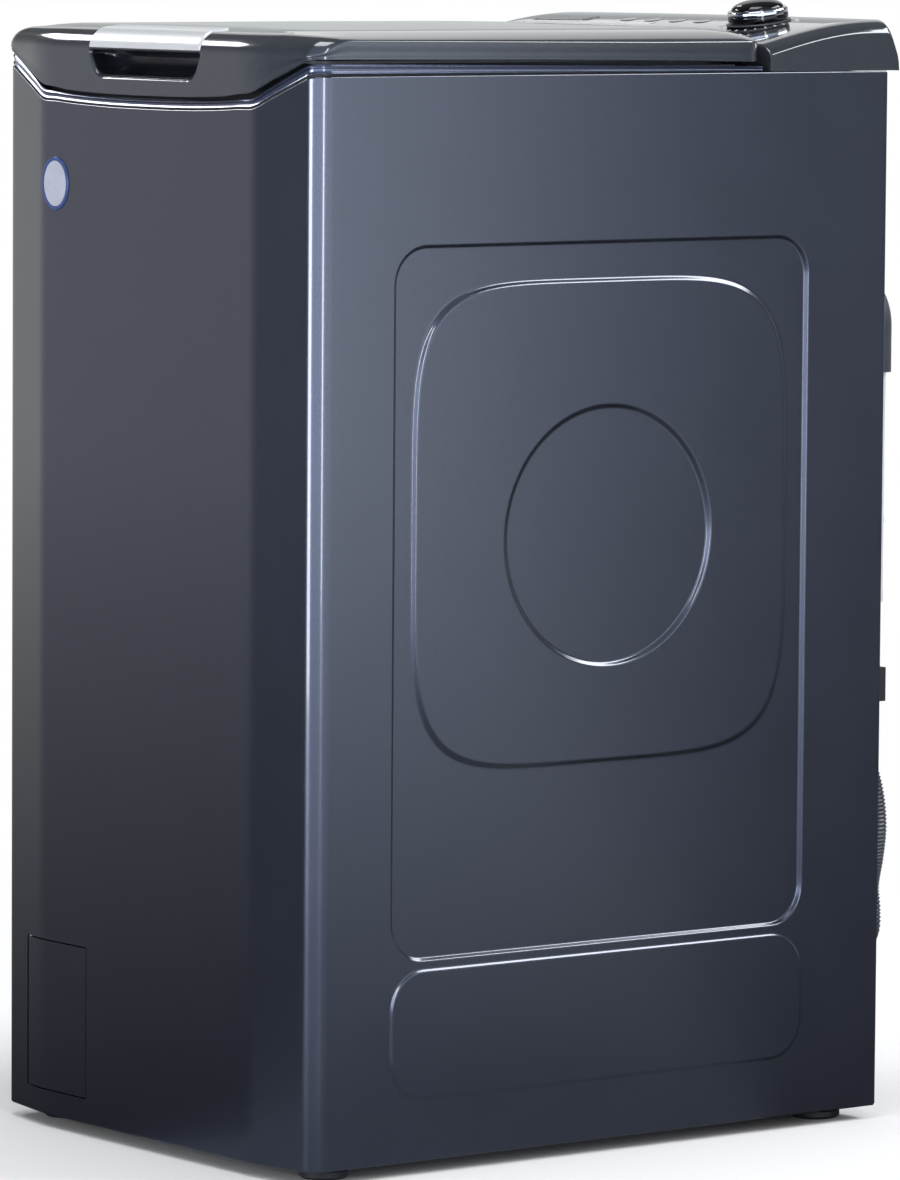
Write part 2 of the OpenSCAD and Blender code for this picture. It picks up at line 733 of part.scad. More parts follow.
module tub_shell() color(grey) difference() {
    union() {
        rod_x(tub_r, tub_left, tub_right, axis_y, axis_z);
        for (x = [tub_left + 2, drum_x - 60, drum_x + 60, tub_right - 5])
            rod_x(tub_r + 4, x, x + 3, axis_y, axis_z);
        sector(tub_r - 1, sump_r, drum_x - sump_x, drum_x + sump_x, 0, sump_half);
        translate([drum_x, axis_y, outlet_z]) cylinder(r = outlet_r, h = 30);
        translate([drum_x, axis_y, 0]) prism(soft_box(neck_x + tub_t, neck_y + tub_t, 22), axis_z, neck_top);
        // Lugs of the motor
        for (x = [-17 - seat, 81 + seat]) translate([x, motor_y - 12, motor_z + motor_lug - 10]) cube([8, 24, 50]);
        // Eyes of the springs and seats of the dampers
        for (p = spring_places()) translate([p[0] - 5, p[1] - 14, spring_low - 6]) cube([10, 28, 26]);
        for (p = damper_places()) translate([p[0] - 6, p[1] - 10, damper_high]) cube([12, 20, 60]);
    }
    rod_x(tub_r - tub_t, tub_left - 1, tub_right + 1, axis_y, axis_z);
    sector(tub_r - 4, sump_r - tub_t, drum_x - sump_x + tub_t, drum_x + sump_x - tub_t, 0, sump_half - 0.7);
    translate([drum_x, axis_y, outlet_z - 1]) cylinder(r = outlet_r - 3, h = 40);
    translate([drum_x, axis_y, 0]) prism(soft_box(neck_x, neck_y, 19), axis_z, neck_top + 1);
    rod_x(5, -30, 100, motor_y, motor_z + motor_lug);
}

function spring_places() = [for (x = [-1, 1], y = [-1, 1]) [drum_x + x * spring_x, axis_y + y * spring_y]];
function damper_places() = [for (x = [-1, 1], y = [-1, 1]) [drum_x + x * damper_x, axis_y + y * damper_y]];
spring_low = axis_z + 100;
spring_high = deck_z - 24;
damper_high = axis_z - sqrt(pow(tub_r, 2) - pow(damper_y - 10, 2)) - 26;

module end_cover(bore) {
    rib_h = end_rib;
    difference() {
        union() {
            cylinder(r = tub_r + 4, h = 4);
            cylinder(r = hub_r, h = hub_out);
            for (a = [0:30:330]) rotate(a) translate([hub_r - 2, -1.5, 3]) cube([tub_r - hub_r - 6, 3, rib_h + 1]);
            for (r = [110, 190]) difference() {
                cylinder(r = r, h = 4 + rib_h - 2);
                translate([0, 0, -1]) cylinder(r = r - 3, h = 40);
            }
        }
        translate([0, 0, -1]) cylinder(r = shaft_r + 4, h = 60);
        translate([0, 0, hub_out - bearing_w]) cylinder(r = bearing_r, h = bearing_w + 1);
        translate([0, 0, -1]) cylinder(r = bearing_r - 4, h = seal_w + 1);
    }
}

module tub_end_left() color(grey) translate([tub_left, axis_y, axis_z]) rotate([0, -90, 0]) end_cover();
module tub_end_right() color(grey) translate([tub_right, axis_y, axis_z]) rotate([0, 90, 0]) end_cover();

module drum_bearings() color(steel) both_ends() translate([0, 0, hub_out - bearing_w + eps]) difference() {
    cylinder(r = bearing_r - eps, h = bearing_w - 1);
    translate([0, 0, -1]) cylinder(r = shaft_r + run_fit, h = bearing_w + 2);
}

module shaft_seals() color(black) both_ends() translate([0, 0, 0]) difference() {
    cylinder(r = bearing_r - 4 - eps, h = seal_w - eps);
    translate([0, 0, -1]) cylinder(r = shaft_r + run_fit, h = seal_w + 2);
}

module both_ends() {
    translate([tub_left, axis_y, axis_z]) rotate([0, -90, 0]) children();
    translate([tub_right, axis_y, axis_z]) rotate([0, 90, 0]) children();
}

module bellows() color(black) translate([drum_x, axis_y, 0]) difference() {
    union() {
        prism(soft_box(neck_x + 3, neck_y + 3, 22), neck_top + seat, frame_low - seat);
        prism(soft_box(neck_x + 9, neck_y + 9, 26), neck_top + 4, frame_low - 4);
    }
    prism(soft_box(neck_x, neck_y, 19), neck_top - 1, frame_low + 1);
    prism(soft_box(neck_x + 6, neck_y + 6, 23), neck_top + 6, frame_low - 6);
}

module counterweights() color("#9a9a94") for (s = [-1, 1]) difference() {
    sector(tub_r + 4 + seat, tub_r + 42, drum_x - 100, drum_x + 100, 180 + s * 42, 9);
    translate([-half_w, front_y, neck_top - 30]) cube([cab_w, 600, 200]);
    translate([-half_w, front_y - 50, 0]) cube([cab_w, 50 + 8, 900]);
    translate([-half_w, rear_y - 8, 0]) cube([cab_w, 50, 900]);
}

module suspension_springs() color(steel) for (p = spring_places()) translate([p[0], p[1], 0])
    difference() {
        translate([0, 0, spring_low + 22]) cylinder(r = spring_r, h = spring_high - spring_low - 22);
        translate([0, 0, spring_low + 21]) cylinder(r = spring_r - 2 * wire_r, h = spring_high - spring_low);
    }

module damper_cylinders() color(black) for (p = damper_places()) translate([p[0], p[1], base_top + 20])
    difference() {
        cylinder(r = damper_r, h = 110);
        translate([0, 0, 12]) cylinder(r = 9 + run_fit, h = 110);
    }

module damper_rods() color(steel) for (p = damper_places()) translate([p[0], p[1], 0])
    translate([0, 0, base_top + 62]) cylinder(r = 9, h = damper_high - base_top - 62);

module heater() color(steel) {
    for (x = [-1, 1]) at_axis() translate([drum_x + x * 18, 0, 0]) rotate([0, 90, 0])
        rotate([0, 0, -sump_half + 4]) rotate_extrude(angle = 2 * sump_half - 4.85) translate([tub_r + 10, 0]) circle(3.4);
}

// ---- Drum -----------------------------------------------------------------

module holes(angles, xs, r = 3.2) {
    for (a = angles, x = xs) at_axis() rotate([a, 0, 0]) translate([x, 0, drum_r - 10]) cylinder(r = r, h = 20);
}

hole_xs = [for (k = [-4:4]) drum_x + k * 27];

module drum_shell() color(steel) {
    difference() {
        rod_x(drum_r, drum_left, drum_right, axis_y, axis_z);
        rod_x(drum_r - drum_t, drum_left - 1, drum_right + 1, axis_y, axis_z);
        sector(drum_r - 5, drum_r + 5, drum_x - flap_x - 1, drum_x + flap_x + 1, 180, flap_half + flap_turn);
        holes([60, 75, 105, 120, 135, 150, 165, 195, 210, 225, 240, 255, 285, 300], [for (k = [-3:2:3]) drum_x + k * 27]);
    }
    knuckles(-1, -1, eps);
    knuckles(1, -1, eps);
}

module drum_end() {
    difference() {
        rotate_extrude() polygon([
            [0, 0], [70, 0], [84, 7], [190, 7], [drum_r - drum_t - 3, 0], [drum_r - drum_t - eps, 0],
            [drum_r - drum_t - eps, end_flange], [drum_r - drum_t - 1, end_flange], [drum_r - drum_t - 1, 2],
            [190.5, 8], [83.5, 8], [69.5, 1], [0, 1]]);
        for (a = [0:60:300]) rotate(a) translate([50, 0, -1]) cylinder(r = 3, h = 4);
    }
}
module drum_end_left() color(steel) translate([drum_left, axis_y, axis_z]) rotate([0, 90, 0]) drum_end();
module drum_end_right() color(steel) translate([drum_right, axis_y, axis_z]) rotate([0, -90, 0]) drum_end();

module drum_shafts() color(steel) {
    reach = hub_out - 1;
    for (s = [-1, 1]) {
        x = s < 0 ? drum_left : drum_right;
        out = s < 0 ? tub_left - reach : pulley_x + pulley_w;
        rod_x(62, min(x, x + s * 5) + s * eps, max(x, x + s * 5) + s * eps, axis_y, axis_z);
        rod_x(shaft_r, min(x + s * 4, out), max(x + s * 4, out), axis_y, axis_z);
    }
}

module drum_lifters() color(white) for (a = [90, 180, 270]) at_axis() rotate([a, 0, 0])
    translate([0, 0, drum_r - drum_t - lifter_h - seat]) along_x(drum_left + 20, drum_right - 20) difference() {
        polygon([[-26, lifter_h - 1.4], [-9, 6], [-5, 1], [0, 0], [5, 1], [9, 6], [26, lifter_h - 1.4], [0, lifter_h]]);
        polygon([[-20, 40], [-6, 8], [0, 5], [6, 8], [20, 40]]);
    }

// One curved flap: s is -1 at the front and 1 at the rear
module flap(s) difference() {
    union() {
        sector(drum_r - drum_t, drum_r, drum_x - flap_x, drum_x + flap_x,
            180 - s * (flap_half + 0.5 - flap_turn) / 2, (flap_half - 0.5 - flap_turn) / 2);
        knuckles(s, 1, run_fit);
    }
    holes([for (k = [1:3]) -s * k * flap_half / 4.4], [for (k = [-3:2:3]) drum_x + k * 25], 3);
}

// Curled knuckles round a flap's pin, on the flap for side 1 and on the drum for side -1
module knuckles(s, side, play) {
    step = 2 * flap_x / 7;
    first = side > 0 ? 1 : 0;
    at_axis() rotate([-s * flap_half, 0, 0]) for (k = [first:2:6]) let (x = drum_x - flap_x + k * step)
        along_x(x + 0.5, x + step - 0.5) translate([0, drum_r - pin_drop]) difference() {
            union() {
                circle(flap_pin_r + 1.4);
                translate([min(0, -s * side * knuckle_leg), pin_drop - drum_t - 1.4]) square([knuckle_leg, 1.9]);
            }
            circle(flap_pin_r + play);
        }
}

module flap_front() color(steel) flap(-1);
module flap_rear() color(steel) difference() {
    flap(1);
    at_catch() translate([-15, -6, -5]) cube([30, 12, 10]);
}
module flap_pins() color(steel) for (s = [-1, 1])
    rod_x(flap_pin_r, drum_x - flap_x, drum_x + flap_x, axis_y + s * pin_y, axis_z + pin_z);

// Places children on the rear flap's face, next to where the flaps meet
module at_catch() at_axis() rotate([-catch_turn, 0, 0]) translate([drum_x, 0, drum_r]) children();

module flap_catch() color(black) at_catch() {
    translate([-15 + seat, -6 + seat, -drum_t - catch_travel - 3]) cube([30 - 2 * seat, 12 - 2 * seat, catch_travel + 5 + drum_t]);
    translate([-19, -6 + seat, -drum_t - 4.5]) cube([38, 12 - 2 * seat, 3]);
}

// ---- Drive ----------------------------------------------------------------

module drum_pulley() color(grey) translate([pulley_x, axis_y, axis_z]) rotate([0, 90, 0]) difference() {
    union() {
        difference() {
            cylinder(r = pulley_r, h = pulley_w);
            translate([0, 0, -1]) cylinder(r = pulley_r - 7, h = pulley_w + 2);
        }
        cylinder(r = 24, h = pulley_w);
        for (a = [0:60:300]) rotate(a) translate([20, -7, 3]) cube([pulley_r - 24, 14, 6]);
    }
    translate([0, 0, -1]) cylinder(r = shaft_r + eps, h = 30);
}

module pulley_bolt() color(zinc) {
    x = pulley_x + pulley_w + eps;
    rod_x(18, x, x + 2.5, axis_y, axis_z);
    translate([x + 2.5, axis_y, axis_z]) rotate([0, 90, 0]) cylinder(r = 9, h = 5, $fn = 6);
}

module belt_loop(g) {
    // The two runs of the belt are tangents to both pulleys
    dy = motor_y - axis_y;
    dz = motor_z - axis_z;
    span = norm([dy, dz]);
    lean = atan2(dz, dy);
    open = acos((pulley_r - motor_pulley_r) / span);
    big = pulley_r + g;
    small = motor_pulley_r + g;
    translate([axis_y, axis_z]) polygon([
        for (k = [0:24]) let (a = lean + open + (360 - 2 * open) * k / 24) big * [cos(a), sin(a)],
        for (k = [0:8]) let (a = lean - open + 2 * open * k / 8) [dy, dz] + small * [cos(a), sin(a)]
    ]);
}

module drive_belt() color(black) along_x(pulley_x + 2, pulley_x + pulley_w - 2) difference() {
    belt_loop(1.2 + belt_t);
    belt_loop(1.2);
}

module motor() color(zinc) {
    difference() {
        union() {
            rod_x(motor_r, -15, 88, motor_y, motor_z);
            rod_x(motor_r - 18, 88, 98, motor_y, motor_z);
            rod_x(motor_r - 20, -34, -15, motor_y, motor_z);
            // Ears and the bolt that hangs the motor under the tub
            for (x = [-6, 78]) translate([x - 3, motor_y - 10, motor_z + 40]) cube([6, 20, motor_lug - 40 + 8]);
            rod_x(5 - eps, -20, 92, motor_y, motor_z + motor_lug);
        }
        rod_x(7 + run_fit, -40, 120, motor_y, motor_z);
    }
}

module motor_pulley() color(steel) {
    rod_x(7, -30, pulley_x, motor_y, motor_z);
    rod_x(motor_pulley_r, pulley_x, pulley_x + pulley_w, motor_y, motor_z);
}

// ---- Water ----------------------------------------------------------------

module sump_hose() color(black) {
    swept([[drum_x, axis_y, outlet_z - seat], [drum_x, axis_y, outlet_z - 22], [drum_x - 8, axis_y - 30, outlet_z - 46],
           [drum_x - 30, axis_y - 80, outlet_z - 60], [pump_x + 14, pump_y + 110, pump_z + 62],
           [pump_x + 3, pump_y + 74, pump_z + 60], [pump_x, pump_y + 62, pump_z + 46],
           [pump_x, pump_y + 62, pump_z + 38]], outlet_r - 2, 12);
}

module drain_pump() color(grey) {
    difference() {
        union() {
            rod_y(32, pump_y + 6, pump_y + 100, pump_x, pump_z);
            rod_y(21, pump_y + 100, pump_y + 130, pump_x, pump_z);
            translate([pump_x, pump_y + 62, pump_z]) cylinder(r = outlet_r - 2, h = 38 - seat);
        }
        rod_y(27, pump_y + 5, pump_y + 80, pump_x, pump_z);
    }
}

module filter_cap() color(white) {
    rod_y(27 - run_fit, pump_y + 5, pump_y + 30, pump_x, pump_z);
    rod_y(30, pump_y - 2, pump_y + 6 - seat, pump_x, pump_z);
    translate([pump_x - 22, pump_y - 9, pump_z - 3]) cube([44, 7, 6]);
}

// The door's hinge line, just behind the face at its left edge
door_hinge = [door_x - door_w / 2 + 1 + door_t, front_y + door_t + door_back];

module filter_door() color(paint) union() {
    intersection() {
        difference() {
            prism(plan(0), door_low + 1, door_low + door_h - 1);
            prism(plan(door_t), door_low, door_low + door_h);
        }
        translate([door_hinge[0], front_y - 5, door_low]) cube([door_w - 2 - door_t, 40, door_h]);
    }
    translate([door_hinge[0], door_hinge[1], door_low + seat]) cylinder(r = door_t, h = door_h - 2 * seat);
}

module inlet_valve() color(white) {
    difference() {
        union() {
            rod_y(inlet_r, rear_y - 8, rear_y + 16, valve_x, valve_z);
            rod_y(inlet_r + 3, rear_y - 14, rear_y - 8, valve_x, valve_z);
            translate([valve_x - 14, rear_y - 50, valve_z - 14]) cube([28, 38, 28]);
        }
        rod_y(9, rear_y - 4, rear_y + 20, valve_x, valve_z);
    }
}

inlet_route = [[valve_x, rear_y - 50, valve_z], [valve_x, rear_y - 70, valve_z], [valve_x - 22, rear_y - 100, valve_z],
    [valve_x - 38, rear_y - 140, valve_z], [valve_x - 40, axis_y, valve_z], [valve_x - 40, axis_y - 130, valve_z],
    [valve_x - 36, tray_rear - 20, valve_z + 2], [valve_x - 20, tray_rear - 36, valve_z + 2],
    [-tray_x, tray_rear - 40, valve_z + 2]];
module inlet_hose() color(black) swept(inlet_route, 6, 8);

// Where the hose hangs over its guide, and the guide's bend
guide_low = guide_z - 35;
function guide_arc() = [for (a = [180:-22.5:0]) [guide_x + guide_bend * cos(a), hose_y, guide_z + guide_bend * sin(a)]];
hose_route = concat([[-140, 249, 100], [-140, 262, 100], [-130, 274, 99], [-100, 282, 97], [-55, 285, 95], [0, 286, 95],
    [50, 287, 96], [90, 289, 102], [114, 289, 116], [128, 289, 138], [133, 289, 165], [134, 289, 190],
    [134, 288, 215], [133, 286, 242], [130, 280, 272], [123, 272, 306], [114, 266, 345], [108.5, 263.5, 376],
    [106, 263, 406], [106, 263, 470], [106, 263, 540]],
    guide_arc(), [[guide_x + guide_bend, hose_y, guide_low]]);
module drain_hose() color(black) swept(hose_route, hose_r, 8);

// Bent sleeve that the hose hangs in, with a web and the eye that screws to the back
module hose_guide() color(grey) {
    translate([guide_x, hose_y, guide_z]) rotate([90, 0, 0]) rotate_extrude(angle = 180)
        translate([guide_bend, 0]) sleeve_ring();
    for (x = [-1, 1]) translate([guide_x + x * guide_bend, hose_y, guide_low])
        linear_extrude(guide_z - guide_low) sleeve_ring();
    web = guide_bend - hose_r - 1.5;
    translate([guide_x - web, hose_y - 1.5, guide_low]) cube([2 * web, 3, guide_z - guide_low]);
    rod_y(6, rear_y + 1 + eps, hose_y + 3, guide_x, guide_z - 14);
}

module sleeve_ring() difference() {
    circle(hose_r + 3);
    circle(hose_r + seat);
}

module hose_cuff() color(grey) translate([guide_x + guide_bend, hose_y, cuff_low]) difference() {
    cylinder(r = cuff_r, h = guide_low - cuff_low - eps);
    translate([0, 0, -1]) cylinder(r = cuff_r - 2, h = guide_low);
}

// Clip on the rising hose, and the hook at the rear edge
module hose_clips() color(black) {
    translate([106, hose_y, 430]) difference() {
        union() {
            cylinder(r = hose_r + 2.5, h = 16);
            translate([-7, rear_y + 1 + eps - hose_y, 0]) cube([14, 8, 16]);
        }
        translate([0, 0, -1]) cylinder(r = hose_r + seat, h = 18);
        translate([-20, rear_y - hose_y - 9, -1]) cube([40, 10, 18]);
    }
    translate([half_w - 16, rear_y + 1 + eps, 322]) cube([12, 7.5, 26]);
}

module transport_caps() color(black) for (x = [-1, 1], k = [0, 1])
    translate([x * 105, rear_y, transport_z(k)]) rotate([-90, 0, 0]) {
        translate([0, 0, 1.1]) cylinder(r = 16, h = 2.5);
        translate([0, 0, -6]) cylinder(r = 12 - seat, h = 8);
    }

module cable_gland() color(black) translate([-half_w + 40, rear_y, cab_top - 120]) rotate([-90, 0, 0]) difference() {
    union() {
        translate([0, 0, 1.1]) cylinder(r = 13, h = 4);
        translate([0, 0, -6]) cylinder(r = 9, h = 8);
    }
    translate([0, 0, -10]) cylinder(r = 4, h = 30);
}

cabinet_shell();
rear_panel();
base_frame();
feet();
foot_nuts();
top_frame();
control_panel();
dial_ring();
display_lens();
control_board();
knob();
knob_ring();
power_button();
start_button();
temp_button();
spin_button();
lid_outer();
lid_inner();
lid_handle();
hinge_pins();
lid_latch();
lid_lock();
dispenser_tray();
bellows();
tub_shell();
tub_end_left();
tub_end_right();
drum_shell();
drum_end_left();
drum_end_right();
drum_lifters();
drum_shafts();
flap_front();
flap_rear();
flap_pins();
flap_catch();
drum_bearings();
shaft_seals();
drum_pulley();
pulley_bolt();
drive_belt();
motor();
motor_pulley();
counterweights();
suspension_springs();
damper_cylinders();
damper_rods();
heater();
sump_hose();
drain_pump();
filter_cap();
filter_door();
inlet_valve();
inlet_hose();
drain_hose();
hose_cuff();
hose_guide();
hose_clips();
transport_caps();
cable_gland();
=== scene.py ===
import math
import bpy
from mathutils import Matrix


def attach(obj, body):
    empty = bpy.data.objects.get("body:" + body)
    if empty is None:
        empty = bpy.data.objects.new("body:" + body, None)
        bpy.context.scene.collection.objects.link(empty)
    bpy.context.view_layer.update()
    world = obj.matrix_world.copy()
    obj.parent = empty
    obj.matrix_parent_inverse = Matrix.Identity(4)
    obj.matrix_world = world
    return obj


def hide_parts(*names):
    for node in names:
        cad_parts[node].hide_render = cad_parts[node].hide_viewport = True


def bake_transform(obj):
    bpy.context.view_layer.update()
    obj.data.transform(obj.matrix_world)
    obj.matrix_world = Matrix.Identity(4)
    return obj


bl_info = {
    "name": "Top-loading washing machine",
    "version": (1, 0, 0),
    "blender": (4, 5, 0),
    "location": "View3D > Sidebar > Washing machine",
    "description": "Models the visible pieces of a narrow top-loading washing machine round its CAD frame",
    "category": "Object",
}

import bpy
import numpy as np
from mathutils import Matrix, Vector

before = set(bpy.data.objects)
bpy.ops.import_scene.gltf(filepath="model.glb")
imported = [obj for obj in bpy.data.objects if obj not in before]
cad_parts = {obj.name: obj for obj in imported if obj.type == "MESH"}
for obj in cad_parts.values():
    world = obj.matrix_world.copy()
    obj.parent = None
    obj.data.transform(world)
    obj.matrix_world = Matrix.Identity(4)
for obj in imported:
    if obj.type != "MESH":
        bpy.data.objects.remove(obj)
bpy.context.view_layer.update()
MM = 0.001


# ---- Colours and nodes -----------------------------------------------------


def linear(code):
    """An sRGB hex colour as linear red, green, blue and alpha."""
    parts = [int(code[i : i + 2], 16) / 255 for i in (1, 3, 5)]
    return tuple(c / 12.92 if c <= 0.04045 else ((c + 0.055) / 1.055) ** 2.4 for c in parts) + (1.0,)


def add_node(tree, kind, inputs=None, **settings):
    """Adds a node, sets its properties, and fills its inputs with values or links."""
    made = tree.nodes.new(kind)
    for name, value in settings.items():
        setattr(made, name, value)
    for name, value in (inputs or {}).items():
        socket = made.inputs[name]
        if isinstance(value, bpy.types.NodeSocket):
            tree.links.new(value, socket)
        else:
            socket.default_value = value
    return made


def empty_tree(holder):
    """The emptied node tree of a material or a world."""
    holder.use_nodes = True
    holder.node_tree.nodes.clear()
    return holder.node_tree


def new_finish(name, **shader):
    """A material with one Principled shader, whose sockets are set by name."""
    finish = bpy.data.materials.new(name)
    tree = empty_tree(finish)
    principled = add_node(tree, "ShaderNodeBsdfPrincipled", {k.replace("_", " "): v for k, v in shader.items()})
    add_node(tree, "ShaderNodeOutputMaterial", {"Surface": principled.outputs[0]})
    return finish, tree, principled


def object_point(tree, scale=(1, 1, 1)):
    """Object coordinates in metres, stretched by scale."""
    place = add_node(tree, "ShaderNodeTexCoord")
    return add_node(tree, "ShaderNodeMapping", {"Vector": place.outputs["Object"], "Scale": scale}).outputs[0]


def grain(tree, size, detail=2.0, scale=(1, 1, 1)):
    """Noise whose grains are about size metres across."""
    return add_node(tree, "ShaderNodeTexNoise", {"Vector": object_point(tree, scale), "Scale": 1 / size,
                                                 "Detail": detail}).outputs["Fac"]


def spread(tree, value, low=0.0, high=1.0):
    """Stretches a noise's middle values to run from low to high."""
    return add_node(tree, "ShaderNodeMapRange", {"Value": value, "From Min": 0.3, "From Max": 0.7,
                                                 "To Min": low, "To Max": high}).outputs[0]


def shade(colour, factor):
    """A linear colour made lighter or darker."""
    return tuple(min(1.0, c * factor) for c in colour[:3]) + (1.0,)


def blend_colours(tree, value, first, second):
    """Mixes two colours, in hex or linear, by a value from 0 to 1."""
    ends = [linear(c) if isinstance(c, str) else c for c in (first, second)]
    mixed = add_node(tree, "ShaderNodeMix", {"Factor": value}, data_type="RGBA")
    colours = [socket for socket in mixed.inputs if socket.type == "RGBA"]
    colours[0].default_value, colours[1].default_value = ends
    return next(socket for socket in mixed.outputs if socket.type == "RGBA")


def emboss(tree, shader, height, distance):
    """Raises the surface by height, over distance in metres."""
    raised = add_node(tree, "ShaderNodeBump", {"Height": height, "Distance": distance})
    tree.links.new(raised.outputs[0], shader.inputs["Normal"])


def mottle(tree, shader, noise, first, second):
    """Lets the base colour run from one colour to another with a noise."""
    tree.links.new(blend_colours(tree, spread(tree, noise), first, second), shader.inputs["Base Color"])


def vary_gloss(tree, shader, noise, low, high):
    """Lets the roughness run from low to high with a noise."""
    tree.links.new(spread(tree, noise, low, high), shader.inputs["Roughness"])


# ---- Finishes --------------------------------------------------------------


def colours():
    """The machine's main colours."""
    return bpy.context.scene.washing_machine_colours


def metallic_enamel():
    # Stoved enamel with fine aluminium flakes: a deep blue-grey that lightens in soft glints, under a clear
    # coat with a faint orange peel
    finish, tree, shader = new_finish("metallic_stoved_enamel_on_steel", Metallic=0.8, Roughness=0.24,
                                      Coat_Weight=1.0, Coat_Roughness=0.07)
    enamel = colours().enamel
    mottle(tree, shader, grain(tree, 0.0011, 1.0), shade(enamel, 0.9), shade(enamel, 1.12))
    vary_gloss(tree, shader, grain(tree, 0.06, 3.0), 0.22, 0.26)
    emboss(tree, shader, grain(tree, 0.004, 1.0), 0.000008)
    return finish


def gloss_abs():
    # Injection-moulded ABS with a dark metallic lacquer: mirror-like, with slow waves from the mould
    finish, tree, shader = new_finish("lacquered_abs_dark_grey", Metallic=0.3, Roughness=0.14, Coat_Weight=1.0,
                                      Coat_Roughness=0.04)
    lacquer = colours().lacquer
    mottle(tree, shader, grain(tree, 0.0012, 1.0), shade(lacquer, 0.92), shade(lacquer, 1.1))
    emboss(tree, shader, grain(tree, 0.05), 0.00008)
    return finish


def satin_abs():
    # Moulded ABS with a blue-grey metallic lacquer, smooth enough for its edges to catch thin glints
    finish, tree, shader = new_finish("lacquered_abs_blue_grey", Metallic=0.55, Roughness=0.2, Coat_Weight=1.0,
                                      Coat_Roughness=0.05)
    bezel = colours().bezel
    mottle(tree, shader, grain(tree, 0.0015), shade(bezel, 0.94), shade(bezel, 1.08))
    emboss(tree, shader, grain(tree, 0.0009), 0.000004)
    return finish


def silver_lacquer():
    # ABS with a bright aluminium lacquer: nearly white under a lamp, with a very fine flake
    finish, tree, shader = new_finish("silver_lacquer_on_abs", Metallic=0.25, Roughness=0.4, Coat_Weight=0.6,
                                      Coat_Roughness=0.08)
    silver = colours().silver
    mottle(tree, shader, grain(tree, 0.0008, 1.0), shade(silver, 0.95), shade(silver, 1.05))
    emboss(tree, shader, grain(tree, 0.0008), 0.00001)
    return finish


def chrome_plate():
    # Chrome plated on plastic: a mirror with the faintest cloudiness
    finish, tree, shader = new_finish("bright_chrome_plate", Base_Color=linear("#dfe3e8"), Metallic=1.0)
    vary_gloss(tree, shader, grain(tree, 0.01, 3.0), 0.03, 0.08)
    emboss(tree, shader, grain(tree, 0.02), 0.00001)
    return finish


def moulded(name, first, second, low, high, texture=0.0012, depth=0.00003):
    # Moulded plastic: matt to satin, with the fine grain of its mould
    finish, tree, shader = new_finish(name)
    mottle(tree, shader, grain(tree, 0.03, 3.0), first, second)
    vary_gloss(tree, shader, grain(tree, 0.012), low, high)
    emboss(tree, shader, grain(tree, texture), depth)
    return finish


def metal(name, first, second, low, high, streak=(1, 1, 1)):
    # Bare metal sheet or bar: its rolling or turning marks run along the stretched axis
    finish, tree, shader = new_finish(name, Metallic=1.0)
    mottle(tree, shader, grain(tree, 0.012, scale=streak), first, second)
    vary_gloss(tree, shader, grain(tree, 0.002, 3.0, streak), low, high)
    emboss(tree, shader, grain(tree, 0.002, scale=streak), 0.00001)
    return finish


def galvanised():
    # Hot-dip zinc: crystals some 8 mm across, each with its own grey and gloss
    finish, tree, shader = new_finish("galvanised_steel_spangle", Metallic=0.9)
    crystals = add_node(tree, "ShaderNodeTexVoronoi", {"Vector": object_point(tree), "Scale": 120.0})
    tone = add_node(tree, "ShaderNodeSeparateColor", {"Color": crystals.outputs["Color"]}).outputs[0]
    gloss = add_node(tree, "ShaderNodeMapRange", {"Value": tone, "To Min": 0.32, "To Max": 0.52})
    tree.links.new(blend_colours(tree, tone, "#8e9398", "#b4b9bd"), shader.inputs["Base Color"])
    tree.links.new(gloss.outputs[0], shader.inputs["Roughness"])
    emboss(tree, shader, crystals.outputs["Distance"], 0.00002)
    return finish


def cast_weight():
    # Cast weight: gritty, with pores
    finish, tree, shader = new_finish("cast_iron_weight", Roughness=0.85)
    mottle(tree, shader, grain(tree, 0.006, 5.0), "#7d7c76", "#a09f98")
    emboss(tree, shader, grain(tree, 0.003, 6.0), 0.0004)
    return finish


FINISHES = {}


def finish_named(name):
    """The material of a finish; the first call makes them all."""
    if not FINISHES:
        FINISHES.update(
            enamel=metallic_enamel(),
            gloss=gloss_abs(),
            satin=satin_abs(),
            silver=silver_lacquer(),
            chrome=chrome_plate(),
            black_gloss=moulded("polished_black_pmma", "#0c0d10", "#131418", 0.04, 0.09, 0.02, 0.00001),
            # Painted shade: a near-black satin that darkens the finger grip's hollow, where the lid's own lacquer lies
            # in shade
            scoop=moulded("grip_painted_shade_satin", "#14161d", "#1b1e27", 0.14, 0.22, 0.004, 0.00001),
            black=moulded("moulded_black_polypropylene", "#1b1c1f", "#242629", 0.45, 0.6),
            grey=moulded("moulded_grey_polypropylene", "#85888d", "#93969b", 0.42, 0.55),
            pale=moulded("moulded_pale_grey_polypropylene", "#b9bcbf", "#c6c9cb", 0.35, 0.45),
            white=moulded("moulded_white_polypropylene", "#dcdcd8", "#e8e8e5", 0.35, 0.5),
            dark=moulded("moulded_dark_grey_abs", "#33373f", "#3c4049", 0.35, 0.5),
            rubber=moulded("black_epdm_rubber", "#17181a", "#202124", 0.6, 0.8, 0.0008, 0.00005),
            hose=moulded("corrugated_dark_grey_pvc", "#2c3036", "#3a3f47", 0.35, 0.5),
            board=moulded("circuit_board_solder_mask", "#1d5b3c", "#2a6d4b", 0.3, 0.4),
            zinc=galvanised(),
            plated=metal("bright_zinc_plated_steel", "#a9adb2", "#c3c6ca", 0.25, 0.4),
            stainless=metal("brushed_stainless_steel", "#b4b7bb", "#c6c9cc", 0.2, 0.34, (8, 1, 1)),
            aluminium=metal("die_cast_aluminium", "#9da0a4", "#b1b4b8", 0.35, 0.5),
            blue=moulded("blue_enamelled_rim", "#33477e", "#3a4f88", 0.2, 0.3),
            badge=moulded("pale_enamelled_plate", "#a9aebd", "#b4b9c7", 0.25, 0.35),
            weight=cast_weight(),
        )
    return FINISHES[name]


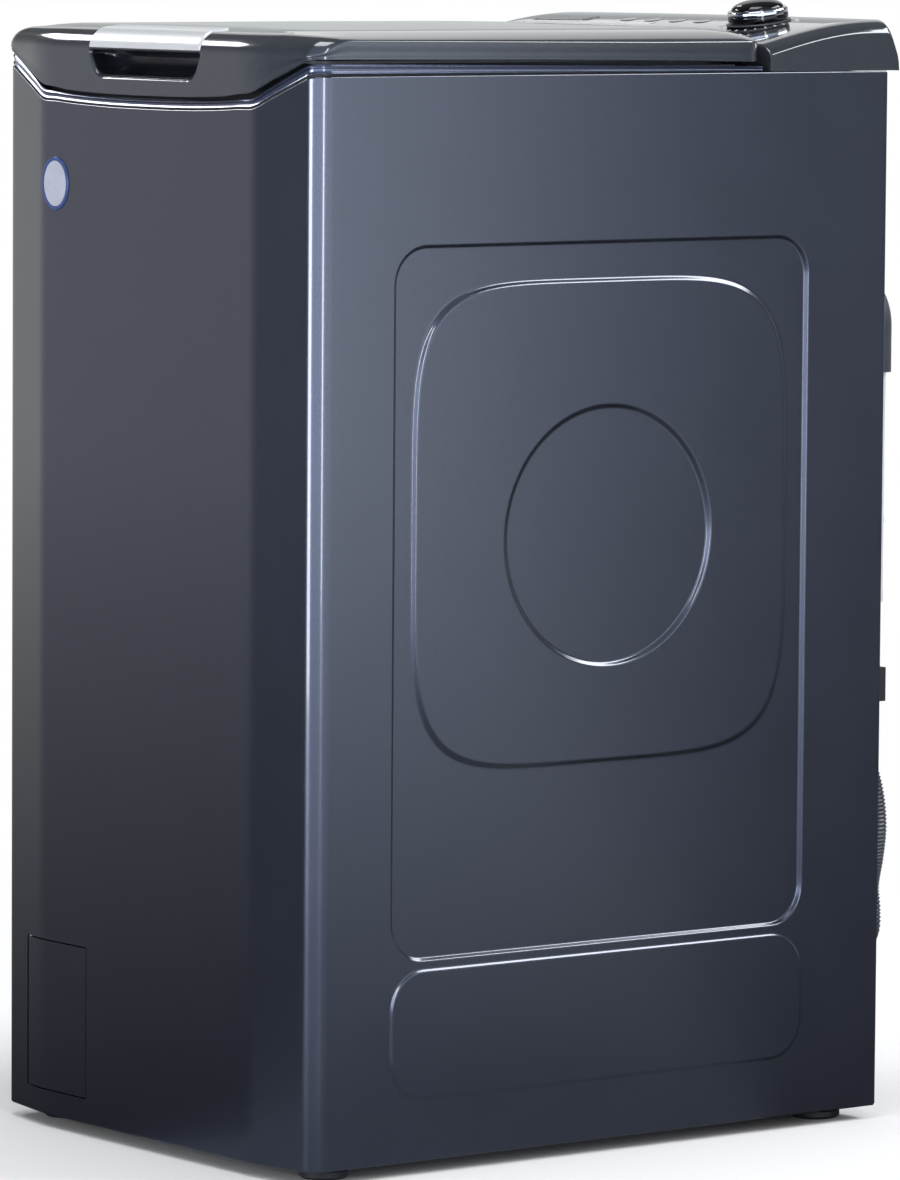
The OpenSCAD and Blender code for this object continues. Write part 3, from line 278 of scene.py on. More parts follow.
# ---- Modelling tools -------------------------------------------------------


def deselect():
    """Goes to object mode with nothing selected."""
    if bpy.context.object and bpy.context.object.mode != "OBJECT":
        bpy.ops.object.mode_set(mode="OBJECT")
    bpy.ops.object.select_all(action="DESELECT")


def pick(piece):
    """Selects one piece alone and makes it active."""
    deselect()
    piece.select_set(True)
    bpy.context.view_layer.objects.active = piece


def apply(piece, kind, **settings):
    """Adds a modifier, sets it and applies it."""
    pick(piece)
    made = piece.modifiers.new(kind.title(), kind)
    for name, value in settings.items():
        setattr(made, name, value)
    bpy.ops.object.modifier_apply(modifier=made.name)


def weld(piece, distance=0.00001, outwards=True):
    """Merges doubled points and turns the faces outwards."""
    pick(piece)
    bpy.ops.object.mode_set(mode="EDIT")
    bpy.ops.mesh.select_all(action="SELECT")
    bpy.ops.mesh.remove_doubles(threshold=distance)
    if outwards:
        bpy.ops.mesh.normals_make_consistent(inside=False)
    bpy.ops.object.mode_set(mode="OBJECT")


def smooth(piece, degrees):
    """Shades a piece smooth, but for edges sharper than degrees."""
    pick(piece)
    bpy.ops.object.shade_smooth_by_angle(angle=math.radians(degrees))


def shaped_grid(name, points):
    """A grid whose points stand where points says: rows, columns and three coordinates in millimetres."""
    points = np.asarray(points, float)
    rows, columns = points.shape[:2]
    deselect()
    bpy.ops.mesh.primitive_grid_add(x_subdivisions=columns - 1, y_subdivisions=rows - 1, size=1)
    piece = bpy.context.object
    piece.name = name
    piece.data.name = name
    piece.data.vertices.foreach_set("co", (points * MM).astype(np.float32).ravel())
    piece.data.update()
    return piece


def settle(piece):
    """Puts an object's place, turn and size into its mesh."""
    pick(piece)
    bpy.ops.object.transform_apply(location=True, rotation=True, scale=True)


def paint(piece, finish):
    """Gives a piece one finish all over."""
    piece.data.materials.clear()
    piece.data.materials.append(finish_named(finish))


def finish_piece(piece, finish, body, node, degrees):
    """Gives a piece its finish and its shading, hangs it on the body that it moves with, and hides the CAD node that
    it replaces, if any.
    """
    settle(piece)
    paint(piece, finish)
    smooth(piece, degrees)
    apply(piece, "WEIGHTED_NORMAL", weight=80, keep_sharp=True)
    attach(piece, body)
    if node:
        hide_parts(node)


def finish_soft(piece, finish, degrees):
    """Gives a soft piece its finish and its smooth shading, and puts its place into its mesh."""
    settle(piece)
    paint(piece, finish)
    smooth(piece, degrees)
    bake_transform(piece)


def join(name, pieces):
    """Joins pieces into the first of them, under a new name."""
    deselect()
    for piece in pieces:
        piece.select_set(True)
    bpy.context.view_layer.objects.active = pieces[0]
    bpy.ops.object.join()
    pieces[0].name = name
    return pieces[0]


def turned(name, profile, steps, place=(0, 0, 0)):
    """A turned piece: a profile of radius and height in millimetres, spun about the vertical."""
    angles = np.linspace(0, 2 * math.pi, steps + 1)
    rings = [[(r * math.cos(a), r * math.sin(a), h) for a in angles] for r, h in profile]
    piece = shaped_grid(name, rings)
    weld(piece)
    piece.location = Vector(place) * MM
    settle(piece)
    return piece


# ---- Outlines in millimetres ----------------------------------------------


def inset(outline, d):
    """A counter-clockwise outline moved inwards by d."""
    outline = np.asarray(outline, float)
    before, after = np.roll(outline, 1, 0), np.roll(outline, -1, 0)
    u = (outline - before) / np.linalg.norm(outline - before, axis=1)[:, None]
    v = (after - outline) / np.linalg.norm(after - outline, axis=1)[:, None]
    m, n = np.stack([-u[:, 1], u[:, 0]], 1), np.stack([-v[:, 1], v[:, 0]], 1)
    return outline + (m + n) * d / (1 + (m * n).sum(1))[:, None]


def fillet(a, b, c, r, steps):
    """The arc of radius r that rounds the corner a, b, c."""
    u, v = (a - b) / np.linalg.norm(a - b), (c - b) / np.linalg.norm(c - b)
    half = math.acos(float(u @ v)) / 2
    centre = b + (u + v) / np.linalg.norm(u + v) * r / math.sin(half)
    p, q = b + u * r / math.tan(half) - centre, b + v * r / math.tan(half) - centre
    start = math.atan2(p[1], p[0])
    turn = (math.atan2(q[1], q[0]) - start + math.pi) % (2 * math.pi) - math.pi
    angles = [start + turn * i / steps for i in range(steps + 1)]
    return [centre + r * np.array([math.cos(q), math.sin(q)]) for q in angles]


def rounded(outline, radii, arcs, runs):
    """A rounded outline: arcs gives each corner's steps, and runs the steps of the edge after it."""
    outline = np.asarray(outline, float)
    count = len(outline)
    corners = [fillet(outline[i - 1], outline[i], outline[(i + 1) % count], radii[i], arcs[i]) for i in range(count)]
    points = []
    for i in range(count):
        points += corners[i]
        start, end = corners[i][-1], corners[(i + 1) % count][0]
        points += [start + (end - start) * k / runs[i] for k in range(1, runs[i])]
    return np.array(points)


def smooth_step(x):
    """0 to 1 with rounded ends."""
    x = np.clip(x, 0, 1)
    return x * x * (3 - 2 * x)


def reaches(line):
    """How far along a line each of its points lies."""
    return np.concatenate([[0], np.cumsum(np.linalg.norm(np.diff(line, axis=0), axis=1))])


def along_curve(knots, count):
    """Points evenly along a smooth curve through the knots."""
    knots = np.asarray(knots, float)
    padded = np.vstack([2 * knots[0] - knots[1], knots, 2 * knots[-1] - knots[-2]])
    fine = []
    for i in range(len(knots) - 1):
        a, b, c, d = padded[i : i + 4]
        square, cube = 2 * a - 5 * b + 4 * c - d, 3 * b - a - 3 * c + d
        for t in np.linspace(0, 1, 24, endpoint=i == len(knots) - 2):
            fine.append(0.5 * (2 * b + (c - a) * t + square * t * t + cube * t**3))
    fine = np.array(fine)
    reach = reaches(fine)
    even = np.linspace(0, reach[-1], count)
    return np.stack([np.interp(even, reach, column) for column in fine.T], 1)


def tube(name, path, radii, sides):
    """A round tube of the given radii along a path, with closed ends."""
    path = np.asarray(path, float)
    radii = np.broadcast_to(np.asarray(radii, float), (len(path),))
    along = np.gradient(path, axis=0)
    along /= np.linalg.norm(along, axis=1)[:, None]
    side = np.cross(along[0], [0, 0, 1] if abs(along[0][2]) < 0.7 else [0, 1, 0])
    angles = np.linspace(0, 2 * math.pi, sides + 1)
    rings = []
    for point, t, r in zip(path, along, radii):
        side = side - t * (side @ t)
        side /= np.linalg.norm(side)
        other = np.cross(t, side)
        rings.append([point + r * (math.cos(a) * side + math.sin(a) * other) for a in angles])
    rings = [[path[0]] * (sides + 1)] + rings + [[path[-1]] * (sides + 1)]
    piece = shaped_grid(name, rings)
    weld(piece)
    return piece


def cut(piece, cutter):
    """Takes the cutter's shape out of a piece, and removes the cutter."""
    apply(piece, "BOOLEAN", operation="DIFFERENCE", object=cutter, solver="EXACT")
    bpy.data.objects.remove(cutter)


def ring_loft(name, rings, close_first=True):
    """A skin through closed rings of equally many points, with its last and first ring closed to their middles."""
    rings = [np.asarray(ring, float) for ring in rings]
    rings = [np.vstack([ring, ring[:1]]) for ring in rings]
    if close_first:
        rings.insert(0, np.repeat(rings[0][:-1].mean(0)[None], len(rings[0]), 0))
    rings.append(np.repeat(rings[-1][:-1].mean(0)[None], len(rings[-1]), 0))
    piece = shaped_grid(name, rings)
    weld(piece)
    return piece


# ---- The machine's measures, in millimetres --------------------------------

# Cabinet: half its width, its front face, where its sides begin, its rear, its lower and upper edge
HALF_W, FRONT_Y, SIDE_FRONT_Y, REAR_Y, CAB_LOW, CAB_TOP = 200.0, -299.5, -288.0, 247.0, 10.0, 804.0
# Half the front face between its facets, and the roundings beside them
HALF_FLAT, FACET_R, CORNER_R = 136.0, 210.0, 15.0
# The top edge's dip over the front: its depth, where it ends, where its floor ends, and the share that is rounded
DIP, DIP_ENDS, DIP_FLAT, BLEND_END = 26.0, 198.5, 128.0, 0.2
# The front sheet's rows are level below this height, and the top edge is level behind this line
LEVEL_Z, LEVEL_BEHIND = 700.0, -200.0
# Radius of the folds along the skins' edges
FOLD = 1.5
# Lid: its rear, its hinge plane's height, and how far it stands over the front
LID_REAR, LID_LOW, LID_OVER = 127.0, 811.0, 2.0
LID_FRONT = FRONT_Y - LID_OVER
# Control panel: its front, rear and foot, its tilt, its slope's run, foot and rise, and its swell across the middle
PANEL_FRONT, PANEL_REAR, PANEL_LOW, TILT = 131.0, 258.0, 804.3, 8.0
SLOPE_RUN, SLOPE_FOOT, SLOPE_RISE, SWELL = 117.0, 20.0, 18.0, 0.9
# Places of the controls along their row
ROW_Y, DIAL_X, BUTTON_X, DISPLAY_X = 195.0, 108.0, (40, 10, -20, -50), -130.0
# Drum: its axis and the middle of its width
AXIS_Y, DRUM_X = -18.25, -17.0
# Opening for the filter door
DOOR_X, DOOR_W, DOOR_LOW, DOOR_H = -118.0, 86.0, 28.5, 115.5


def plan_points(rear, out=0.0):
    """The six corners of the cabinet's plan up to its rear, moved outwards by out."""
    return inset([(HALF_W, rear - out), (-HALF_W, rear - out), (-HALF_W, SIDE_FRONT_Y), (-HALF_FLAT, FRONT_Y),
                  (HALF_FLAT, FRONT_Y), (HALF_W, SIDE_FRONT_Y)], -out)


def top_edge(x):
    """Height of the skins' top edge over the front at x: it dips in the middle, and the dip's floor sags a little."""
    sag = np.minimum(2.9 * (np.abs(x) / 115) ** 2.5 - 1.9, 1.2) * np.clip((185 - np.abs(x)) / 35, 0, 1)
    return CAB_TOP + sag - DIP * smooth_blend((DIP_ENDS - np.abs(x)) / (DIP_ENDS - DIP_FLAT))


def smooth_blend(t):
    """0 to 1 with a straight middle and rounded ends."""
    t = np.clip(t, 0, 1)
    bend = 2 * BLEND_END * (1 - BLEND_END)
    middle = (t - BLEND_END / 2) / (1 - BLEND_END)
    return np.where(t < BLEND_END, t * t / bend, np.where(t > 1 - BLEND_END, 1 - (1 - t) ** 2 / bend, middle))


# ---- Steel skin ------------------------------------------------------------


def soft_rectangle(centre, half, r, steps, square=False):
    """A rounded rectangle's points, an even number of steps along each edge; square sharpens its corners."""
    arc = 8
    points = []
    for quarter, (sy, sz) in enumerate(((1, 1), (-1, 1), (-1, -1), (1, -1))):
        middle = (centre[0] + sy * (half[0] - r), centre[1] + sz * (half[1] - r))
        turn = []
        for i in range(arc + 1):
            a = math.pi / 2 * i / arc
            u, v = math.cos(a), math.sin(a)
            if square:
                m = max(u, v)
                u, v = u / m, v / m
            # Each quarter turns on by a right angle
            for _ in range(quarter):
                u, v = -v, u
            turn.append((middle[0] + r * u, middle[1] + r * v))
        points.append(turn)
    outline = []
    for quarter in range(4):
        outline += points[quarter]
        start, end = np.array(points[quarter][-1]), np.array(points[(quarter + 1) % 4][0])
        count = steps[quarter % 2]
        outline += [tuple(start + (end - start) * k / count) for k in range(1, count)]
    return np.array(outline)


def towards(outline, centre, radius):
    """Points in the directions of an outline's points from a centre, a radius away that may hang on the angle."""
    offset = outline - np.asarray(centre)
    angle = np.arctan2(offset[:, 1], offset[:, 0])
    r = radius(angle) if callable(radius) else radius
    return np.stack([centre[0] + r * np.cos(angle), centre[1] + r * np.sin(angle)], 1)


def pressed_side(name, side, sizes):
    """One side skin, with its pressed field, soft square land, dish and lower sill."""
    low, split, high = CAB_LOW + FOLD, 154.5, CAB_TOP - 1.2
    front, rear = -265.0, REAR_Y - FOLD
    middle, half_y = (front + rear) / 2, (rear - front) / 2
    field = ((-24.25, 419.5), (194.25, 261.5))
    sill = ((-24.25, 103.5), (194.25, 47.5))
    land, dish = (-24.25, 473.5), (-19.25, 462.5)
    press, rise, proud = sizes.press_in / MM, sizes.land / MM, sizes.press_out / MM
    corner, border = 29.0, 30

    def skin(rings):
        flat = [np.stack([np.full(len(p), side * (HALF_W - d)), p[:, 0], p[:, 1]], 1) for p, d in rings]
        return ring_loft(name, flat, close_first=False)

    def box(shape, grow):
        return soft_rectangle(shape[0], (shape[1][0] + grow, shape[1][1] + grow), corner + grow, steps)

    def sheet(bottom, top, margin):
        half = (half_y - margin, (top - bottom) / 2 - margin)
        return soft_rectangle((middle, (bottom + top) / 2), half, border, steps, square=True)

    # The upper part, from its border to the dish's middle: each ring with its depth
    steps = (40, 56)
    rings = [(sheet(split, high, 0), 0.0), (sheet(split, high, 2), 0.0), (box(field, 1.2), 0.0)]
    for t in np.linspace(0, 1, 9):
        rings.append((box(field, 0.6 - 2.8 * t), press * smooth_step(t)))
    base = box(field, -3.0)
    rings.append((base, press))

    def squircle(grow):
        a, b, power = 176.25 + grow, 180.0 + grow, 5.0
        return towards(base, land, lambda q: (np.abs(np.cos(q) / a) ** power
                                              + np.abs(np.sin(q) / b) ** power) ** (-1 / power))

    raised = press - rise
    rings.append((squircle(2.0), press))
    for t in np.linspace(0, 1, 10):
        rings.append((squircle(0.6 - 4.0 * t), press - rise * smooth_step(t)))
    rings.append((squircle(-4.2), raised))
    around = squircle(-40)
    rings.append((around, raised))
    rings += [(towards(around, dish, radius), raised) for radius in (108.0, 98.6)]
    for t in np.linspace(0, 1, 8):
        rings.append((towards(around, dish, 98.0 - 3.8 * t), raised + rise * smooth_step(t)))
    rings += [(towards(around, dish, radius), press) for radius in (93.4, 60.0, 30.0, 8.0)]
    upper = skin(rings)

    # The lower part, with the sill that stands proud
    steps = (40, 8)
    rings = [(sheet(low, split, 0), 0.0), (box(sill, 1.6), 0.0)]
    for t in np.linspace(0, 1, 8):
        rings.append((box(sill, 1.2 - 2.6 * t), -proud * smooth_step(t)))
    rings += [(box(sill, grow), -proud) for grow in (-2.0, -18, -28.9)]
    return join(name, [upper, skin(rings)]), front, rear, low, high


def points_of(piece):
    """A piece's points in millimetres."""
    points = np.empty(len(piece.data.vertices) * 3)
    piece.data.vertices.foreach_get("co", points)
    return points.reshape(-1, 3) / MM


def points_on(piece, axis, value):
    """The sorted other coordinate of the points of a flat skin that lie on one of its borders."""
    points = points_of(piece)
    return np.unique(np.round(points[np.abs(points[:, axis] - value) < 0.01][:, 3 - axis], 3))


def front_line(front, runs):
    """The rounded plan's points in front of a line, from the right-hand side to the left."""
    outline = rounded(plan_points(REAR_Y), [5, 5, CORNER_R, 60, 60, CORNER_R], [2, 2, 14, 6, 6, 14], runs)
    ahead = outline[outline[:, 1] < front]
    # In the order in which they are seen from a place well behind the front
    return ahead[np.argsort(-np.arctan2(ahead[:, 0], -(ahead[:, 1] + 150)))]


def wrapped_front(name, heights, front, high):
    """The bent front sheet, from one side skin to the other."""
    columns = np.vstack([[(HALF_W, front)], front_line(front - 0.01, [4, 4, 8, 44, 8, 4]), [(-HALF_W, front)]])
    rows = []
    for z in heights:
        top = top_edge(columns[:, 0]) - (CAB_TOP - high)
        level = np.where(z <= LEVEL_Z, z, LEVEL_Z + (z - LEVEL_Z) * (top - LEVEL_Z) / (high - LEVEL_Z))
        rows.append(np.stack([columns[:, 0], columns[:, 1], level], 1))
    return shaped_grid(name, rows), columns


def offset_line(line, d):
    """An open line moved to its right-hand side by d, where the cabinet's middle lies."""
    step = np.gradient(line, axis=0)
    step /= np.linalg.norm(step, axis=1)[:, None]
    return line + np.stack([step[:, 1], -step[:, 0]], 1) * d


def fold(name, line, levels, profile, taper=1.0):
    """A strip bent round an edge: profile gives its inset and its height from the levels, lowered by the taper."""
    rows = []
    for d, rise in profile:
        moved = offset_line(line, d)
        rows.append(np.stack([moved[:, 0], moved[:, 1], levels + rise * taper], 1))
    return shaped_grid(name, rows)


def make_cabinet_skin(sizes):
    """Both pressed sides and the bent front in one sheet, with its folded edges and the door's opening."""
    right, front, rear, low, high = pressed_side("skin_right", 1, sizes)
    left = pressed_side("skin_left", -1, sizes)[0]
    sheet, columns = wrapped_front("skin_front", points_on(right, 1, front), front, high)
    depths = points_on(right, 2, high)
    # The outline from the right-hand rear edge round the front to the left-hand rear edge
    line = np.vstack([[(HALF_W, y) for y in depths[::-1][:-1]], columns, [(-HALF_W, y) for y in depths[1:]]])
    bends = np.linspace(0, math.pi / 2, 6)
    over = [(1.2 * (1 - math.cos(a)), 1.2 * math.sin(a) - 1.2) for a in bends] + [(1.45, 0.0), (FOLD, -0.05)]
    top = fold("fold_top", line, np.where(line[:, 1] < LEVEL_BEHIND, top_edge(line[:, 0]), CAB_TOP), over)
    under = [(FOLD * (1 - math.cos(a)), -FOLD * math.sin(a)) for a in bends] + [(13.5, -FOLD)]
    bottom = fold("fold_bottom", line, np.full(len(line), low), under)
    flanges = []
    for side in (1, -1):
        turn = [(side * (HALF_W - FOLD + FOLD * math.cos(a)), rear + FOLD * math.sin(a)) for a in bends]
        turn.append((side * 184.0, rear + FOLD))
        flanges.append(shaped_grid("flange", [[(x, y, z) for x, y in turn] for z in points_on(right, 1, rear)]))
    skin = join("cabinet_skin", [right, left, sheet, top, bottom, *flanges])
    weld(skin, 0.00002)
    apply(skin, "SOLIDIFY", thickness=0.001, offset=-1)
    cut(skin, rounded_block("door_opening", (DOOR_X, FRONT_Y + 8, DOOR_LOW + DOOR_H / 2), (DOOR_W, 40, DOOR_H), 1.2))
    finish_piece(skin, "enamel", "cabinet", "cabinet_shell", 32)


def rounded_block(name, centre, size, bevel, segments=3):
    """A block with every edge rounded, in millimetres."""
    deselect()
    bpy.ops.mesh.primitive_cube_add(size=1, location=Vector(centre) * MM)
    piece = bpy.context.object
    piece.name = name
    piece.scale = Vector(size) * MM
    settle(piece)
    apply(piece, "BEVEL", width=bevel * MM, segments=segments, limit_method="NONE")
    return piece


# ---- Bezel, lid and handle --------------------------------------------------


def make_bezel():
    """The blue-grey rim between the skins and the lid, with two rounded beads and a groove between them."""
    side = np.stack([np.full(40, HALF_W), np.linspace(124, -262, 40)], 1)
    line = np.vstack([side, front_line(-266, [4, 60, 8, 60, 8, 60]), side[::-1] * [-1, 1]])
    lower = [(0.6, 1.7), (0.38, 1.8), (0.3, 2.0), (0.3, 2.15), (1.05, 3.65), (1.15, 3.8)]
    upper = [(2.1, 7.1), (0.6, 7.2), (0.38, 7.3), (0.3, 7.5), (0.3, 7.65), (1.1, 9.25), (1.25, 9.38)]
    profile = [(3.4, 1.5), (1.6, 1.7), *lower, (1.2, 4.0), (1.1, 5.8), (1.3, 6.1), (2.0, 6.3),
               *upper, (1.6, 9.45), (3.4, 9.4), (3.4, 1.5)]
    levels = np.where(line[:, 1] < LEVEL_BEHIND, top_edge(line[:, 0]), CAB_TOP)
    # It is lower over the front's middle and towards the rear
    corner = smooth_step((np.abs(line[:, 0]) - 105) / 80)
    taper = np.where(line[:, 1] < -286, 0.71 + 0.27 * corner, 0.98 - 0.53 * rearwards(line[:, 1]))
    bezel = fold("bezel", line, levels, profile, taper)
    weld(bezel)
    finish_piece(bezel, "satin", "cabinet", None, 25)


# The lid's outer face above its wall: how far it is drawn in, and its height over the hinge plane
SIDE_STEPS = [(0, 13.6), (0.1, 14.4), (0.35, 15.0), (0.9, 15.6), (2.4, 16.5), (5, 17.7), (8, 18.8), (12.5, 20.3),
              (18, 21.6)]
FRONT_STEPS = [(17 * (1 - math.cos(math.radians(a))), 5.5 + 16.8 * math.sin(math.radians(a)))
               for a in (0, 10, 20, 32, 44, 56, 68, 79, 90)]
TOP_STEPS = [(26, 23.2), (36, 24.2)]
# Above them the lid is one low dome
CROWN_SHARES, CROWN_RISE = (0.95, 0.88, 0.79, 0.68, 0.55, 0.41, 0.27, 0.13, 0.03), 2.3
# The rounded lip under its wall: how far it is drawn in, and its height
LIP_STEPS = [(1.2, 0.0), (0.75, 0.1), (0.45, 0.35), (0.35, 0.9)]
# The wall between the lip and the faces above: its share of the height, and how far it is drawn in
WALL_STEPS = [(0.1, 0.48), (0.2, 0.6), (0.32, 0.62), (0.45, 0.5), (0.58, 0.3), (0.72, 0.12), (0.86, 0.02)]
LID_WALL = 2.5


def rearwards(y):
    """0 at the sides' front, 1 at the lid's rear."""
    return np.clip((y - SIDE_FRONT_Y) / (LID_REAR - SIDE_FRONT_Y), 0, 1)


def lid_outline(s, h, d=0.0):
    """The lid's plan, drawn in by s at its sides and by a rounding at its rear edge."""
    drop = 29 - max(0, h)
    fall = 0 if drop >= 9 else 9 - math.sqrt(81 - (9 - drop) ** 2)
    # Further in, the facets grow too short for full roundings
    corner, facet = 19 + 0.7 * min(s, 18), FACET_R - 9.3 * max(0, s + d - 20)
    return rounded(inset(plan_points(LID_REAR + s - fall, LID_OVER), s + d),
                   [20 + s - d, 20 + s - d, corner - d, facet, facet, corner - d],
                   [10, 10, 12, 14, 14, 12], [40, 44, 6, 60, 6, 44])


def lid_low_edge(points):
    """Height of the lid's lower edge: it dips across the front, falls to the rear and is rounded up there."""
    x, y = points[:, 0], points[:, 1]
    back = rearwards(y)
    level = LID_LOW + 4.8 - 2.2 * back - 2.0 * back**3
    low = 2.6 * (1 - smooth_step((np.abs(x) - 95) / 55))
    level = level - np.where(y < -230, CAB_TOP - top_edge(x) + low, 0)
    end_r = 8.5
    end = np.clip(y - (LID_REAR - end_r), 0, end_r)
    return level + end_r - np.sqrt(end_r**2 - end**2)


def lid_ring(step, d=0.0):
    """One ring of the lid's shell; d is the depth below its outer face."""
    side, front = SIDE_STEPS[step], FRONT_STEPS[step]
    a, b = lid_outline(*side, d), lid_outline(*front, d)
    share = smooth_step((-a[:, 1] - 262) / 34)[:, None]
    flat = a * (1 - share) + b * share
    # The crease along each side climbs towards the front
    climb = 3.2 * np.clip((20 - a[:, 1]) / 280, 0, 1) * min(1.0, (SIDE_STEPS[-1][1] - side[1]) / 8)
    level = LID_LOW + 1 + (side[1] + climb) * (1 - share[:, 0]) + front[1] * share[:, 0] - d
    return np.column_stack([flat, level])


def lid_shell(d):
    """Rings from the lower edge to the crown, d below the outer face."""
    wall = lid_outline(0, 0, d)
    low = lid_low_edge(wall)
    first = lid_ring(0, d)
    if d:
        rings = [np.column_stack([wall, low])]
    else:
        rings = [np.column_stack([lid_outline(0, 0, drawn), low + rise]) for drawn, rise in LIP_STEPS]
    for t, drawn in WALL_STEPS:
        flat = wall if d else lid_outline(0, 0, drawn)
        rings.append(np.column_stack([flat, low + 0.9 + (first[:, 2] - low - 0.9) * t]))
    rings += [lid_ring(k, d) for k in range(len(SIDE_STEPS))]
    for s, h in TOP_STEPS:
        flat = lid_outline(s, h, d)
        rings.append(np.column_stack([flat, np.full(len(flat), LID_LOW + 1 + h - d)]))
    last, centre = rings[-1][:, :2], np.array([0.0, (FRONT_Y + LID_REAR) / 2])
    reach = (last - centre) / np.abs(last - centre).max(0)
    for share in CROWN_SHARES:
        rise = CROWN_RISE * (1 - (reach[:, 0] * share) ** 2) * (1 - (reach[:, 1] * share) ** 2)
        rings.append(np.column_stack([centre + (last - centre) * share, LID_LOW + 1 + TOP_STEPS[-1][1] + rise - d]))
    return rings


def grip_outline(grow, lip=0.0):
    """The finger grip in the XZ plane; lip lowers its floor."""
    corners = [(72 + grow, 818.5 + grow * 0.4), (-72 - grow, 818.5 + grow * 0.4),
               (-61.5 - grow, 799.0 - grow - lip), (61.5 + grow, 799.0 - grow - lip)]
    return rounded(corners, [2.5, 2.5, 13 + grow, 13 + grow], [6, 6, 14, 14], [36, 6, 36, 6])


def grip_block(name, steps):
    """A solid of the grip's shape: steps gives its growth, its depth in the lid and how far its lip is lowered."""
    return ring_loft(name, [[(x, LID_FRONT + depth, z) for x, z in grip_outline(grow, *lip)]
                            for grow, depth, *lip in steps])


def make_lid():
    """The lid's shell, with its finger grip and the notches over its hinges."""
    shell = ring_loft("lid_shell", lid_shell(LID_WALL)[::-1] + lid_shell(0.0))
    pocket = grip_block("grip_wall", [(2.5, 1.2), (2.5, 24.5)])
    apply(shell, "BOOLEAN", operation="UNION", object=pocket, solver="EXACT")
    bpy.data.objects.remove(pocket)
    mouth = [(1.5, -2, 3.0), (1.5, 0, 3.0), (1.2, 0.15, 2.0), (0.8, 0.6, 1.1), (0.45, 1.3, 0.5), (0.2, 2.3, 0.15),
             (0, 3.6, 0.0)]
    cut(shell, grip_block("grip_cutter", mouth + [(0, 19), (-0.9, 21.1), (-3, 22)]))
    for side in (1, -1):
        cut(shell, rounded_block("ear_notch", (side * 150, LID_REAR - 4, 820.5), (11, 20, 29), 1.0))
    finish_piece(shell, "gloss", "lid", "lid_outer", 30)


def make_grip_liner():
    """A scoop that lines the finger grip, near black as painted shade for the grip's hollow."""
    inner = [(-0.9, 2.2), (-1.0, 5), (-1.3, 9), (-2.2, 13), (-3.8, 16), (-6.2, 18.4), (-9.5, 19.8), (-12.4, 20.2)]
    outer = [(-0.15, 2.2), (-0.15, 9), (-0.3, 13), (-1.2, 17.5), (-4, 20.2), (-9, 21.2)]
    liner = grip_block("grip_liner", inner[::-1] + outer)
    finish_piece(liner, "scoop", "lid", None, 60)


def make_handle(sizes):
    """The bright insert that lies on the lid's front bevel over the finger grip."""
    profile = [(LID_FRONT + s, LID_LOW + 1 + h) for s, h in FRONT_STEPS + TOP_STEPS]
    line = np.vstack([[(LID_FRONT, 812.0)], along_curve(profile, 240)])
    reach = reaches(line)
    start = float(np.interp(819.6, line[:, 1], reach))
    end = float(np.interp(-271.0, line[1:, 0], reach[1:]))
    half, corner, stand, soft, sunk = 71.5, 9.0, sizes.handle_stand / MM, 2.2, 1.2
    length = end - start
    rim = np.array([0, 0.15, 0.5, 1.0, 1.6, 2.3])
    along = np.concatenate([rim, np.linspace(3.4, length - 3.4, 30), length - rim[::-1]])
    border = np.array([0.968, 0.977, 0.986, 0.993, 0.998, 1])
    across = np.concatenate([-border[::-1], np.linspace(-0.95, 0.95, 60), border])
    rows = []
    for s in along:
        from_end = length - s
        lift = corner - min(corner, from_end)
        width = half - (corner - math.sqrt(max(0.0, corner**2 - lift**2)))
        y, z = (np.interp(start + s, reach, line[:, k]) for k in (0, 1))
        y2, z2 = (np.interp(start + s + 0.3, reach, line[:, k]) for k in (0, 1))
        out = np.array([-(z2 - z), y2 - y])
        out /= np.linalg.norm(out)
        row = []
        for x in across * width:
            t = min(1.0, min(width - abs(x), s, from_end) / soft)
            lifted = -sunk + (stand + sunk) * math.sqrt(max(0.0, 1 - (1 - t) ** 2))
            row.append((x, max(y + out[0] * lifted, LID_FRONT + 0.03), z + out[1] * lifted))
        rows.append(row)
    handle = shaped_grid("handle_insert", rows)
    apply(handle, "SOLIDIFY", thickness=0.0012, offset=-1)
    weld(handle, 0.000005)
    finish_piece(handle, "silver", "lid", "lid_handle", 40)


# ---- Control panel and its controls -----------------------------------------


def slope_height(y):
    """Height of the panel's slope at y, without its swell."""
    return PANEL_LOW + SLOPE_FOOT + SLOPE_RISE * np.sin(math.pi / 2 * np.clip((y - PANEL_FRONT) / SLOPE_RUN, 0, 1))


def panel_height(x, y):
    """Height of the panel's face at x and y."""
    return slope_height(y) + SWELL * (1 - (x / HALF_W) ** 2)


def on_panel(piece, x):
    """Turns a piece made about the origin onto the panel's sloping face, in the row of the controls."""
    pick(piece)
    place = Matrix.Translation(Vector((x, ROW_Y, slope_height(ROW_Y) + 0.8)) * MM)
    piece.data.transform(place @ Matrix.Rotation(math.radians(TILT), 4, "X"))
    return piece


